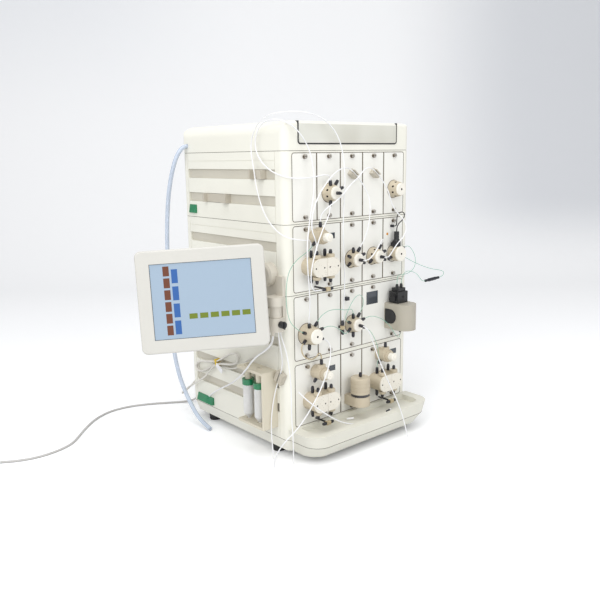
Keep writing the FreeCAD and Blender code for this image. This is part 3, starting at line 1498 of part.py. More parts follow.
add("green_tabs", side_tab(167.0, 202.0, 643.0, 667.0, 6.0))
add("green_tabs", side_tab(117.0, 200.0, 62.0, 84.0, 9.0))
add("green_tabs", side_tab(-144.0, -117.0, 60.0, 73.0, 5.0))

# Tube rack on the lower left side

RACK_FRONT_Y = FRONT_Y + 44.0
RACK_REAR_Y = RACK_FRONT_Y + 115.0
RACK_REACH = 50.0
RACK_LOW_Z = 84.0
RACK_PLATE = 7.0
RACK_WALL = 5.0
RACK_TOP_Z = 243.0
RACK_TUBE_X = 27.0
RACK_TUBES_Y = (RACK_FRONT_Y + 44.0, RACK_FRONT_Y + 94.0)
VIAL_R = 15.0
VIAL_TIP_R = 3.5
VIAL_CONE = 16.0
VIAL_LENGTH = 112.0
VIAL_WALL = 1.0
VIAL_CAP_R = 17.0
VIAL_CAP = 16.0
VIAL_TIP_Z = 91.3
SLEEVE_R = 9.0
SLEEVE_BORE_R = 5.5


def tube_rack():
    """Back wall, front end wall, base with seats and top plate with holes."""
    x1 = -HALF_WIDTH - SEAT
    x0 = x1 - RACK_REACH
    wall = box(x1 - RACK_WALL, x1, RACK_FRONT_Y, RACK_REAR_Y, RACK_LOW_Z, RACK_TOP_Z)
    end = box(x0, x1, RACK_FRONT_Y, RACK_FRONT_Y + RACK_WALL, RACK_LOW_Z, RACK_TOP_Z)
    base = plan_slab(x0, x1, RACK_FRONT_Y, RACK_REAR_Y, RACK_LOW_Z, RACK_LOW_Z + RACK_PLATE, 3, 3)
    top = plan_slab(x0, x1, RACK_FRONT_Y, RACK_REAR_Y, RACK_TOP_Z - RACK_PLATE, RACK_TOP_Z, 3, 3)
    hook_x = -HALF_WIDTH + BAND_DEPTH - RAIL_THICK - SEAT
    hooks = []
    for rise in (BAND_LOW, BAND_HIGH):
        low = row_z(4) + rise
        hooks.append(box(x1 - 1, hook_x, RACK_FRONT_Y + 8, RACK_REAR_Y - 8, low + 1, low + 9))
    tools = []
    for y in RACK_TUBES_Y:
        axis_x = -HALF_WIDTH - RACK_TUBE_X
        tools.append(rod(VIAL_TIP_R + 5, V(axis_x, y, RACK_LOW_Z - 1), Z_AXIS, RACK_PLATE + 2))
        tools.append(rod(SLEEVE_R, V(axis_x, y, RACK_TOP_Z - RACK_PLATE - 1), Z_AXIS, RACK_PLATE + 2))
    sleeves = [feed_sleeve(y) for y in RACK_TUBES_Y]
    return wall.fuse([end, base, top] + hooks).cut(tools).fuse(sleeves).removeSplitter()


def vial_profile(y, shrink):
    """Turned solid of a conical tube, or of its hollow when shrunk by the wall."""
    axis_x = -HALF_WIDTH - RACK_TUBE_X
    tip = V(axis_x, y, VIAL_TIP_Z + shrink)
    cone = taper(VIAL_TIP_R - shrink / 2, VIAL_R - shrink, tip, Z_AXIS, VIAL_CONE)
    barrel = rod(VIAL_R - shrink, tip + V(0, 0, VIAL_CONE), Z_AXIS, VIAL_LENGTH - VIAL_CONE)
    return cone.fuse(barrel)


def vial_cap(y):
    """Green screw cap over a tube's mouth."""
    axis_x = -HALF_WIDTH - RACK_TUBE_X
    mouth_z = VIAL_TIP_Z + VIAL_LENGTH
    skirt_z = mouth_z - VIAL_CAP + 2
    cap = rod(VIAL_CAP_R, V(axis_x, y, skirt_z), Z_AXIS, VIAL_CAP)
    hollow = rod(VIAL_R + SEAT, V(axis_x, y, skirt_z - 1), Z_AXIS, VIAL_CAP - 1)
    return cap.cut(hollow)


def feed_sleeve(y):
    """Sleeve that hangs from the top plate and guides the tubing into a cap."""
    axis_x = -HALF_WIDTH - RACK_TUBE_X
    low = VIAL_TIP_Z + VIAL_LENGTH + 2 + SEAT
    return ring(SLEEVE_R, SLEEVE_BORE_R, V(axis_x, y, low), Z_AXIS, RACK_TOP_Z + 3 - low)


add("tube_rack", tube_rack())
for y in RACK_TUBES_Y:
    add("sample_tubes", vial_profile(y, 0).cut(vial_profile(y, VIAL_WALL)))
    add("tube_caps", vial_cap(y))

# Touch screen on its swing arm

SCREEN_CENTRE = V(-HALF_WIDTH - 202.9, -162.8, 461.4)
SCREEN_YAW = -34.7
SCREEN_TILT = -7.2
SCREEN_ROLL = -2.46
ACTIVE_WIDTH = 246.0
ACTIVE_HEIGHT = 184.5
BEZEL_WIDTH = 315.0
BEZEL_HEIGHT = 254.0
BEZEL_R = 16.0
BEZEL_DEPTH = 16.0
BEZEL_EDGE_R = 5.0
GLASS_SINK = 2.5
GLASS_DEPTH = 5.0
HOUSING_DEPTH = 26.0
HOUSING_TAPER = 16.0
TILT_BACK = 62.0
SWIVEL_BACK = 34.0
EAR_X = 40.0
EAR_THICK = 8.0
EAR_R = 14.0
TILT_PIN_R = 5.0
YOKE_TUBE_R = 13.0
SWIVEL_PIN_R = 8.0
ARM_EYE_R = 17.0
ARM_EYE_LOW = 398.0
ARM_EYE_HIGH = 428.0
ARM_WIDTH = 26.0
POST = V(-HALF_WIDTH - 26.0, FRONT_Y + 14.0, 0)
POST_R = 10.0
POST_BARREL_R = 22.0
POST_LOW = 362.0
POST_HIGH = 452.0


def screen_frame(shape):
    """Put a shape drawn facing -Y about the origin where the screen stands at rest."""
    placed = shape.copy()
    placed.rotate(V(0, 0, 0), Y_AXIS, SCREEN_ROLL)
    placed.rotate(V(0, 0, 0), X_AXIS, SCREEN_TILT)
    placed.rotate(V(0, 0, 0), Z_AXIS, SCREEN_YAW)
    placed.translate(SCREEN_CENTRE)
    return placed


def head_frame(shape):
    """Put a shape drawn about the tilt axis, upright and facing -Y, at the screen's back."""
    placed = shape.copy()
    placed.rotate(V(0, 0, 0), Z_AXIS, SCREEN_YAW)
    placed.translate(tilt_point())
    return placed


def back_of_screen(distance):
    """Point straight behind the screen's middle, square to its face."""
    yaw = radians(SCREEN_YAW)
    tilt = radians(SCREEN_TILT)
    back = V(-sin(yaw) * cos(tilt), cos(yaw) * cos(tilt), sin(tilt))
    return SCREEN_CENTRE + back * distance


def tilt_point():
    return back_of_screen(TILT_BACK)


def swivel_point():
    yaw = radians(SCREEN_YAW)
    point = tilt_point() + V(-sin(yaw), cos(yaw), 0) * SWIVEL_BACK
    return V(point.x, point.y, 0)


def display_bezel():
    """Front frame with softened edges and a chamfered opening."""
    half_w = BEZEL_WIDTH / 2
    half_h = BEZEL_HEIGHT / 2
    frame = front_slab(-half_w, half_w, -half_h, half_h, 0, BEZEL_DEPTH, [BEZEL_R] * 4)
    front_edges = [e for e in frame.Edges if e.BoundBox.YMax < 0.01]
    frame = frame.makeFillet(BEZEL_EDGE_R, front_edges)
    open_w = ACTIVE_WIDTH / 2 + 1
    open_h = ACTIVE_HEIGHT / 2 + 1
    window = box(-open_w, open_w, -1, BEZEL_DEPTH + 1, -open_h, open_h)
    bed = box(-open_w - 5, open_w + 5, GLASS_SINK, BEZEL_DEPTH + 1, -open_h - 5, open_h + 5)
    return frame.cut([window, bed])


def display_screen():
    half_w = ACTIVE_WIDTH / 2 + 5.5
    half_h = ACTIVE_HEIGHT / 2 + 5.5
    return box(-half_w, half_w, GLASS_SINK, GLASS_SINK + GLASS_DEPTH, -half_h, half_h)


def display_housing():
    """Back cover that narrows to the rear, with ribs inside and a pad for the ears."""

    def wire(inset, y):
        half_w = BEZEL_WIDTH / 2 - 3 - inset
        half_h = BEZEL_HEIGHT / 2 - 3 - inset
        corners = [V(-half_w, y, -half_h), V(half_w, y, -half_h), V(half_w, y, half_h), V(-half_w, y, half_h)]
        return rounded_wire(corners, [BEZEL_R] * 4)

    y0 = BEZEL_DEPTH
    y1 = BEZEL_DEPTH + HOUSING_DEPTH
    shell = Part.makeLoft([wire(0, y0), wire(HOUSING_TAPER, y1)], True, True)
    hollow = Part.makeLoft([wire(4, y0 - 1), wire(HOUSING_TAPER + 4, y1 - 4)], True, True)
    ribs = []
    for rise in (-70, 0, 70):
        ribs.append(box(-100, 100, GLASS_SINK + GLASS_DEPTH, y1 - 3, rise - 1.5, rise + 1.5))
    pad = box(-50, 50, y1 - 1, y1 + 4, -40, 40)
    return shell.cut(hollow).fuse(ribs + [pad]).removeSplitter()


def housing_ears():
    """Two ears and the tilt pin between them, drawn about the tilt axis."""
    reach = TILT_BACK - BEZEL_DEPTH - HOUSING_DEPTH + 3
    parts = [rod(TILT_PIN_R, V(-EAR_X - 6, 0, 0), X_AXIS, 2 * EAR_X + 12)]
    for side in (-1, 1):
        plate = box(-EAR_THICK / 2, EAR_THICK / 2, -reach, 0, -EAR_R, EAR_R)
        eye = rod(EAR_R, V(-EAR_THICK / 2, 0, 0), X_AXIS, EAR_THICK)
        ear = plate.fuse(eye)
        ear.translate(V(side * EAR_X, 0, 0))
        parts.append(ear)
    return parts


def display_yoke():
    """Tilt tube between the ears, an arm back from it and the swivel pin under its end."""
    tube_half = EAR_X - EAR_THICK / 2 - SEAT
    tube = rod(YOKE_TUBE_R, V(-tube_half, 0, 0), X_AXIS, 2 * tube_half)
    neck = box(-12, 12, 4, SWIVEL_BACK, -8, 8)
    drop = tilt_point().z - ARM_EYE_HIGH
    collar = rod(ARM_EYE_R - 3, V(0, SWIVEL_BACK, -drop + SEAT), Z_AXIS, drop + 8)
    pin = rod(SWIVEL_PIN_R, V(0, SWIVEL_BACK, ARM_EYE_LOW - tilt_point().z), Z_AXIS, drop + 10)
    body = tube.fuse([neck, collar, pin])
    pin_bore = rod(TILT_PIN_R + RUNNING, V(-EAR_X, 0, 0), X_AXIS, 2 * EAR_X)
    return body.cut(pin_bore).removeSplitter()


def display_arm():
    """Flat arm with an eye on the post and an eye under the yoke."""
    end = swivel_point()
    start = POST
    eyes = []
    for place in (start, end):
        eyes.append(rod(ARM_EYE_R, V(place.x, place.y, ARM_EYE_LOW), Z_AXIS, ARM_EYE_HIGH - ARM_EYE_LOW))
    span = V(end.x - start.x, end.y - start.y, 0)
    beam = box(0, span.Length, -ARM_WIDTH / 2, ARM_WIDTH / 2, ARM_EYE_LOW + 4, ARM_EYE_HIGH - 4)
    beam.rotate(V(0, 0, 0), Z_AXIS, V(1, 0, 0).getAngle(span) * 180 / pi)
    beam.translate(V(start.x, start.y, 0))
    tools = [
        rod(POST_R + RUNNING, V(start.x, start.y, ARM_EYE_LOW - 1), Z_AXIS, 60),
        rod(SWIVEL_PIN_R + RUNNING, V(end.x, end.y, ARM_EYE_LOW - 1), Z_AXIS, 60),
    ]
    return eyes[0].fuse([eyes[1], beam]).cut(tools).removeSplitter()


BRACKET_GLAND_R = 4.5
BRACKET_GLAND = 12.0
BRACKET_GLANDS = [V(-HALF_WIDTH - 12.0, FRONT_Y + 40.0, 352.0), V(-HALF_WIDTH - 40.0, FRONT_Y + 8.0, 352.0)]
HUB_Y = -175.0
HUB_Z = 501.0
HUB_R = 31.0
HUB_THICK = 22.0


def arm_bracket():
    """Round boss on the side, a plate below it and the post that carries the arm."""
    wall_x = -HALF_WIDTH
    boss = rod(HUB_R, V(wall_x - HUB_THICK, HUB_Y, HUB_Z), X_AXIS, HUB_THICK)
    boss = boss.fuse(taper(HUB_R - 5, HUB_R, V(wall_x - HUB_THICK - 5, HUB_Y, HUB_Z), X_AXIS, 5))
    plate = box(wall_x - 8, wall_x, -232, HUB_Y + HUB_R, POST_LOW, HUB_Z)
    blocks = []
    for low, high in ((POST_LOW, ARM_EYE_LOW - SEAT), (ARM_EYE_HIGH + SEAT, POST_HIGH)):
        barrel = rod(POST_BARREL_R, V(POST.x, POST.y, low), Z_AXIS, high - low)
        web = box(POST.x, wall_x - 4, POST.y - 4, POST.y + POST_BARREL_R, low, high)
        blocks += [barrel, web]
    post = rod(POST_R, V(POST.x, POST.y, POST_LOW), Z_AXIS, POST_HIGH - POST_LOW)
    glands = [rod(BRACKET_GLAND_R, place, Z_AXIS, BRACKET_GLAND) for place in BRACKET_GLANDS]
    return boss.fuse([plate, post] + blocks + glands).removeSplitter()


LOCK_KNOB_R = 9.0
LOCK_KNOB = 14.0
LOCK_Z = 382.0


def arm_lock_knob():
    """Friction knob screwed into the lower barrel from the front."""
    start = V(POST.x, POST.y - POST_BARREL_R + 6, LOCK_Z)
    stem = rod(3, start, FORWARD, 10)
    grip = rod(LOCK_KNOB_R, V(POST.x, POST.y - POST_BARREL_R - SEAT, LOCK_Z), FORWARD, LOCK_KNOB)
    wings = box(-1.5, 1.5, 0, 4, -LOCK_KNOB_R - 1, LOCK_KNOB_R + 1)
    wings.translate(V(POST.x, POST.y - POST_BARREL_R - LOCK_KNOB - 3, LOCK_Z))
    return stem.fuse([grip, wings])


add("display_bezel", screen_frame(display_bezel()))
add("display_screen", screen_frame(display_screen()))
housing = screen_frame(display_housing()).fuse([head_frame(piece) for piece in housing_ears()])
add("display_housing", housing.removeSplitter())
add("display_yoke", head_frame(display_yoke()))
add("display_arm", display_arm())
lock_bore = rod(3 + RUNNING, V(POST.x, POST.y - POST_BARREL_R + 7, LOCK_Z), FORWARD, 30)
add("arm_bracket", arm_bracket().cut(lock_bore))
add("arm_lock_knob", arm_lock_knob())

# Cords: hoses, tubes and cables

HOSE_R = 6.25
MAINS_R = 3.25
DISPLAY_CABLE_R = 2.6
SIDE_TUBE_R = 2.3
TUBE_R = 1.6
CAPILLARY_R = 0.8
ELECTRODE_CABLE_R = 1.5
SHARE = 0.45
LEAD = 12.0


def cord_path(points):
    """Straight runs joined by tangent arcs, and the smallest radius among the arcs."""
    edges = []
    smallest = 1e9
    start = points[0]
    for before, corner, after in zip(points, points[1:], points[2:]):
        to_last = before - corner
        to_next = after - corner
        reach = SHARE * min(to_last.Length, to_next.Length)
        to_last = unit(to_last)
        to_next = unit(to_next)
        half_turn = (pi - to_last.getAngle(to_next)) / 2
        radius = reach / tan(half_turn)
        smallest = min(smallest, radius)
        first = corner + to_last * reach
        last = corner + to_next * reach
        middle = corner + unit(to_last + to_next) * (radius / cos(half_turn) - radius)
        edges.append(Part.LineSegment(start, first).toShape())
        edges.append(Part.Arc(first, middle, last).toShape())
        start = last
    edges.append(Part.LineSegment(start, points[-1]).toShape())
    return Part.Wire(edges), smallest


def cord(name, radius, points):
    """Add a round tube along the points to a node and print how tightly it bends."""
    points = [V(*point) for point in points]
    path, smallest = cord_path(points)
    profile = Part.Wire(Part.Circle(points[0], points[1] - points[0], radius).toShape())
    tube = path.makePipeShell([profile], True, False)
    share = tube.Volume / (pi * radius**2 * path.Length)
    tightest = smallest / radius / 2
    print(name, "length", round(path.Length), "tightest", round(tightest, 1), "volume", round(share, 3))
    if not tube.isValid() or len(tube.Solids) != 1:
        print("  not sound:", name)
    add(name, tube)


def lead(seat, direction, body=NUT_BODY):
    """Start of a tube in a nut: the socket's floor and a point straight out of it."""
    axis = unit(direction)
    end = nut_end(seat, axis, body)
    return [end - axis * TUBE_SOCKET, end + axis * LEAD]


def valve_lead(row, column, index):
    centre = valve_centre(row, column)
    return lead(*cone_port(centre, index, VALVE_BASE_R, VALVE_NECK_R, VALVE_LENGTH))


def inject_lead(index):
    return lead(*cone_port(INJECT_CENTRE, index, INJECT_BASE_R, INJECT_NECK_R, INJECT_LENGTH))


def front_lead(row, column):
    return lead(valve_centre(row, column) + V(0, -VALVE_LENGTH - FACE_DISC_THICK - 1.5, 0), FORWARD)


def back_nut_lead(name):
    """Start in the tall nut on top of a pump's left head."""
    row, column = [(row, column) for key, row, column in PUMPS if key == name][0]
    x, z = pump_centre(row, column)
    return lead(V(x - HEAD_PITCH / 2, FRONT_Y - CHECK_BACK, z + HEAD_HALF_HEIGHT), Z_AXIS, 13)


def back(points):
    return list(reversed(points))


# Waste hose from the cap down behind the left side to the bench
cord(
    "waste_hose",
    HOSE_R,
    [
        (-222, 207, 835.5), (-246, 207, 835.5), (-264, 210, 816), (-275, 220, 782), (-281, 238, 725),
        (-284, 250, 665), (-286, 257, 600), (-287, 261, 530), (-287, 264, 450), (-288, 265, 370),
        (-287, 262, 290), (-286, 256, 220), (-283, 240, 150), (-280, 214, 98), (-278, 178, 55),
        (-277, 144, 27), (-276, 110, 13), (-276, 81, 7),
    ],
)

# Mains lead: connector in the inlet, along the bench, a coil and a wall plug

PLUG_LENGTH = 34.0
CONNECTOR_OUT = 20.0
STRAIN_RELIEF = 14.0
COIL_CENTRE = V(-915.0, 336.0, 0.0)
COIL_MIDDLE_R = 35.0
COIL_LAYERS = 3
COIL_HEIGHT = 2 * MAINS_R * COIL_LAYERS
WALL_PLUG = V(-985.0, 295.0, 17.0)
WALL_PLUG_R = 17.0
WALL_PLUG_BODY = 30.0


def inlet_connector():
    """Moulded connector pushed on the inlet's pins, with a tapered strain relief."""
    flange_y = PANEL_REAR_Y
    body = front_slab(
        INLET_X - INLET_WIDTH / 2 + 2 + SEAT,
        INLET_X + INLET_WIDTH / 2 - 2 - SEAT,
        INLET_Z - INLET_HEIGHT / 2 + 2 + SEAT,
        INLET_Z + INLET_HEIGHT / 2 - 2 - SEAT,
        flange_y - 14,
        flange_y + CONNECTOR_OUT,
        [1, 1, 5, 5],
    )
    sockets = []
    for dx, dz in PIN_PLACES:
        pin_x = INLET_X + dx
        pin_z = INLET_Z + dz
        sockets.append(box(pin_x - 1.3, pin_x + 1.3, flange_y - 15, flange_y - 3.7, pin_z - 2.3, pin_z + 2.3))
    relief = taper(7, MAINS_R + 1, V(INLET_X, flange_y + CONNECTOR_OUT, INLET_Z), Y_AXIS, STRAIN_RELIEF)
    return body.cut(sockets).fuse(relief)


def wall_plug():
    """Round wall plug that lies on its side, with two round pins."""
    back_end = WALL_PLUG + V(-12, 0, 0)
    relief = taper(MAINS_R + 1, 10, WALL_PLUG, V(-1, 0, 0), 12)
    body = rod(WALL_PLUG_R, back_end, V(-1, 0, 0), WALL_PLUG_BODY)
    flats = [box(-WALL_PLUG_BODY - 1, 1, side * 15 - 4, side * 15 + 4, -20, 20) for side in (-1.25, 1.25)]
    for flat in flats:
        flat.translate(back_end)
    front = back_end + V(-WALL_PLUG_BODY, 0, 0)
    pins = [rod(2.4, front + V(1, side * 9.5, 0), V(-1, 0, 0), 20) for side in (-1, 1)]
    return body.cut(flats).fuse([relief] + pins).removeSplitter()


def mains_coil():
    """Outer shape of the wound turns, two beside each other and three high."""
    outer = COIL_MIDDLE_R + 2 * MAINS_R
    inner = COIL_MIDDLE_R - 2 * MAINS_R
    return ring(outer, inner, COIL_CENTRE, Z_AXIS, COIL_HEIGHT)


add("mains_plug", inlet_connector(), wall_plug())
add("mains_cable_coil", mains_coil())
cord(
    "mains_cable",
    MAINS_R,
    [
        (-150, 266, 193.25), (-150, 287, 193.25), (-150, 313, 173), (-149, 326, 132), (-147, 327, 84),
        (-150, 319, 38), (-172, 328, 7), (-214, 355, 3.3), (-256, 383, 3.3), (-300, 409, 3.3),
        (-357, 433, 3.3),
        (-426, 436, 3.3), (-487, 406, 3.3), (-535, 364, 3.3), (-582, 312, 3.3), (-623, 266, 3.3),
        (-672, 244, 3.3), (-729, 237, 3.3), (-780, 250, 3.3), (-822, 276, 3.3), (-860, 293, 3.3),
        (-897, 298.5, 3.3),
    ],
)
cord("mains_cable", MAINS_R, [(-933, 298.5, 16.2), (-952, 296.5, 16.4), (-970, 295, 17), (-985, 295, 17)])

# Display cable: gland under the bracket, a tied hank on the side and the rear gland

HANK_MIDDLE = V(-HALF_WIDTH - SEAT, 80.0, 207.0)
HANK_HALF = 126.0
HANK_LOBE = 21.0
HANK_WAIST = 7.5
HANK_THICK = 12.0
HANK_TURN = -19.2


def cable_hank():
    """Bow-tie outline of the folded loops, flat against the side."""
    upper = [(-1, 0), (-0.93, 0.6), (-0.75, 1), (-0.45, 0.8)]
    upper = [V(0, u * HANK_HALF, v * HANK_LOBE) for u, v in upper] + [V(0, -0.06 * HANK_HALF, HANK_WAIST)]
    right = [V(0, -p.y, p.z) for p in reversed(upper)]
    top = upper + right
    low = [V(0, p.y, -p.z) for p in reversed(top[1:-1])]
    outline = Part.makePolygon(top + low + [top[0]])
    hank = Part.Face(outline).extrude(V(-HANK_THICK, 0, 0))
    hank.rotate(V(0, 0, 0), X_AXIS, HANK_TURN)
    hank.translate(HANK_MIDDLE)
    return hank


add("display_cable_coil", cable_hank())
cord(
    "display_cable",
    DISPLAY_CABLE_R,
    [
        (-247, -197, 352), (-247, -197, 336), (-247, -186, 312), (-247, -162, 290), (-247, -128, 271),
        (-247, -92, 256), (-245, -56, 234), (-243, -20, 213), (-241, 20, 202), (-241, 55, 205),
    ],
)
cord(
    "display_cable",
    DISPLAY_CABLE_R,
    [
        (-241, 92, 199), (-243, 112, 178), (-247, 138, 152), (-249, 172, 130), (-250, 212, 108),
        (-252, 250, 84), (-250, 282, 62), (-232, 300, 54), (-210, 296, 70), (-197, 278, 96),
        (-195, 260, 110), (-195, 244, 110),
    ],
)

# White tube from the bracket to the lower tab, and the bundle behind the screen
cord(
    "side_lines",
    SIDE_TUBE_R,
    [
        (-275, -229, 352), (-275, -229, 341), (-284, -227, 325), (-293, -214, 311), (-296, -192, 297),
        (-297, -165, 274),
        (-296, -138, 246), (-291, -108, 222), (-282, -76, 202), (-273, -36, 178), (-264, 8, 156),
        (-256, 50, 136),
        (-250, 90, 114), (-245, 118, 98), (-239.5, 136, 87),
    ],
)

# Tubes between the valves and pumps

LEFT_CHECK_OUT = lead(CHECK_SEATS[("pump_1", -1, 1)], Z_AXIS, 5)
cord(
    "flow_lines",
    TUBE_R,
    lead(UNION_SEATS[0], Z_AXIS) + [
        (-51, -258, 400), (-53, -264, 440), (-55, -267, 490), (-58, -267, 545), (-59, -265, 600),
        (-57, -264, 650),
        (-53, -265, 705), (-53, -266, 760), (-58, -264, 808), (-70, -262, 845), (-94, -260, 876),
        (-128, -256, 897),
        (-165, -250, 907), (-200, -238, 910), (-226, -216, 908), (-241, -188, 903), (-247, -158, 889),
        (-250, -136, 864), (-252, -126, 832), (-254, -132, 800), (-256, -142, 768), (-255, -148, 730),
        (-252, -158, 690), (-253, -180, 655), (-254, -208, 630), (-250, -232, 613), (-240, -252, 602),
        (-222, -266, 597), (-200, -272, 594), (-181, -266, 592), (-166, -255, 589),
    ] + back(back_nut_lead("pump_1")),
)
cord(
    "flow_lines",
    TUBE_R,
    valve_lead(1, 2, 7) + [
        (-118, -263, 755), (-145, -261, 751), (-185, -258, 747), (-222, -252, 748), (-240, -234, 754),
        (-247, -205, 764),
        (-251, -175, 782), (-252, -150, 808), (-251, -142, 840), (-249, -152, 868), (-247, -175, 886),
        (-244, -208, 892), (-236, -233, 888), (-215, -249, 876), (-190, -254, 852), (-168, -256, 820),
        (-157, -258, 780), (-155, -260, 740), (-162, -264, 700), (-178, -270, 655), (-194, -278, 612),
        (-204, -285, 568),
        (-206, -289, 522), (-202, -289, 478), (-195, -284, 435), (-190, -276, 405),
    ] + back(inject_lead(7)),
)
cord(
    "flow_lines",
    TUBE_R,
    LEFT_CHECK_OUT[:1] + [
        (-160.5, -273, 576), (-170, -279, 594), (-186, -284, 616), (-184, -281, 645), (-170, -277, 680),
        (-145, -273, 714),
        (-110, -269, 745), (-74, -264, 766), (-38, -257, 772), (-13.5, -253, 762.6), (9.5, -253, 743.4),
        (26, -253, 726),
        (40, -257, 704), (46, -262, 680), (42, -266, 640), (33, -267, 604), (24, -265, 582),
    ] + back(valve_lead(2, 3, 0)),
)
cord(
    "flow_lines",
    TUBE_R,
    lead(PURGE_SEATS["pump_1"][0], Z_AXIS)[:1] + [
        (-136.5, -261, 651), (-124, -268, 668), (-94, -275, 686), (-66, -275, 704), (-36, -270, 727),
        (-4, -267, 744), (20, -262, 762), (46, -257, 771),
        (70.5, -253, 762.6), (93.5, -253, 743.4), (110, -253, 727), (128, -255, 702), (138, -258, 666),
        (154, -266, 640),
        (171, -273, 624), (178, -278, 606), (172, -283, 587), (156, -285, 571), (134, -288, 560),
        (112, -293, 546),
        (94, -298, 534),
    ] + back(front_lead(2, 4)),
)
cord(
    "flow_lines",
    TUBE_R,
    valve_lead(1, 2, 4) + [
        (-118, -270, 645), (-146, -284, 624), (-172, -293, 592), (-194, -299, 552), (-206, -301, 514),
        (-204, -299, 484),
        (-190, -292, 466),
    ] + back(lead(TEES["pump_1"] + V(-TEE_HALF, 0, 0), V(-1, 0, 0), 6)),
)
cord(
    "flow_lines",
    TUBE_R,
    front_lead(2, 3) + [
        (16, -301, 534), (42, -295, 553), (68, -283, 567), (88, -271, 573),
    ] + back(valve_lead(2, 4, 0)),
)
cord(
    "flow_lines",
    TUBE_R,
    front_lead(3, 3) + [
        (10, -300, 320), (21, -301, 294), (35, -303, 258), (55, -308, 210), (70, -322, 162),
        (83, -338, 118),
        (93, -347, 80), (101, -354, 40), (106, -361, 5),
    ],
)
cord(
    "flow_lines",
    TUBE_R,
    inject_lead(2) + [
        (-120, -281, 300), (-132, -291, 272), (-148, -297, 246), (-168, -300, 214), (-194, -302, 180),
        (-230, -304, 142), (-264, -303, 113),
        (-292, -296, 92), (-306, -283, 66), (-304, -264, 36), (-292, -246, 8),
    ],
)
cord(
    "flow_lines",
    TUBE_R,
    [
        (-252, -232, 362), (-252, -232, 351), (-252, -244, 330), (-251, -255, 304), (-249, -261, 268),
        (-244, -261, 228),
        (-241.5, -259, 184), (-241.5, -258, 140), (-242, -262, 98), (-245, -268, 58), (-247, -270, 28),
        (-245, -266, 5),
    ],
)
cord(
    "flow_lines",
    TUBE_R,
    [
        (-262, -236, 362), (-262, -236, 350), (-259, -240, 318), (-251, -237, 284), (-245, -226, 255),
        (-245, -205, 209),
        (-249, -198, 180), (-257, -198, 146), (-262, -198, 112), (-264, -200, 76),
        (-268, -208, 42), (-279, -226, 18), (-292, -246, 2.4),
    ],
)
cord(
    "flow_lines",
    TUBE_R,
    inject_lead(5) + [
        (-214, -273, 299), (-200, -275, 285), (-178, -272, 278), (-159, -267, 281), (-146, -262, 289),
    ]
    + back(lead(PURGE_SEATS["pump_2"][0], Z_AXIS)),
)
cord(
    "flow_lines",
    TUBE_R,
    [
        (-252, -300, 214), (-243, -312, 199), (-222, -319, 178), (-192, -323, 152), (-156, -324, 125),
        (-118, -322, 102),
        (-80, -318, 86), (-40, -313, 75), (-4, -310, 73.8),
    ],
)

# Thin green capillaries
FLOW_OUT = [lead(seat, Z_AXIS, 5) for seat in cell_seats]
cord(
    "capillaries",
    CAPILLARY_R,
    lead(PURGE_SEATS["pump_1"][1], PURGE_SEATS["pump_1"][2], 6) + [
        (-186, -257, 558), (-212, -257, 546), (-236, -255, 524), (-249, -257, 492), (-254, -259, 455),
        (-251, -260, 413),
        (-241, -261, 382),
    ] + back(inject_lead(6)),
)
cord(
    "capillaries",
    CAPILLARY_R,
    inject_lead(0) + [
        (-134, -271, 396), (-112, -270, 401), (-80, -268, 398), (-52, -267, 391), (-30, -265, 391),
    ] + back(valve_lead(3, 3, 7)),
)
cord(
    "capillaries",
    CAPILLARY_R,
    valve_lead(3, 3, 6) + [
        (-54, -268, 372), (-48, -273, 391), (-32, -270, 409), (-8, -261, 421), (15, -255, 424),
        (30, -253, 412),
        (28, -256, 397),
    ] + back(valve_lead(3, 3, 0)),
)
cord(
    "capillaries",
    CAPILLARY_R,
    valve_lead(3, 3, 1) + [
        (60, -270, 357), (84, -282, 345), (106, -289, 322), (124, -289, 297), (143, -284, 283),
        (160, -275, 279),
    ]
    + back(lead(detector_seat, DOWN, 6)),
)
cord(
    "capillaries",
    CAPILLARY_R,
    valve_lead(3, 3, 2) + [
        (55, -270, 301), (67, -274, 272), (80, -268, 246), (90, -259, 224),
    ] + back(back_nut_lead("pump_3")),
)
cord(
    "capillaries",
    CAPILLARY_R,
    lead(*ph_port(1)) + [
        (224, -257, 536), (230, -268, 516), (225, -277, 494), (214, -279, 475), (197, -271, 462),
        (178, -261, 460), (163, -262, 459),
    ] + back(FLOW_OUT[0]),
)
cord(
    "capillaries",
    CAPILLARY_R,
    FLOW_OUT[1] + [
        (182, -272, 470), (199, -281, 472), (222, -288, 459), (237, -291.8, 436.1), (250, -293, 437),
    ],
)
cord(
    "capillaries",
    CAPILLARY_R,
    lead(*ph_port(2)) + [
        (228, -261, 494), (256, -279, 478), (288, -291, 467), (316, -297, 462), (332, -300, 453),
        (319, -299.1, 441.9), (306, -298, 441),
    ],
)
cord(
    "capillaries",
    CAPILLARY_R,
    inject_lead(1) + [(-100, -273, 355), (-80, -274, 343), (-62, -269, 329)] + back(valve_lead(3, 3, 5)),
)

INLINE_START = V(250.0, -293.0, 437.0)
INLINE_END = V(306.0, -298.0, 441.0)
INLINE_R = 5.0


def inline_connector():
    """Flow restrictor held by its two tubes: a barrel between two smaller nuts."""
    axis = unit(INLINE_END - INLINE_START)
    length = (INLINE_END - INLINE_START).Length
    barrel = rod(INLINE_R, INLINE_START + axis * 14, axis, length - 28)
    nuts = [rod(INLINE_R - 1, INLINE_START, axis, 15), rod(INLINE_R - 1, INLINE_END, axis * -1, 15)]
    return barrel.fuse(nuts)


add("inline_connector", inline_connector())

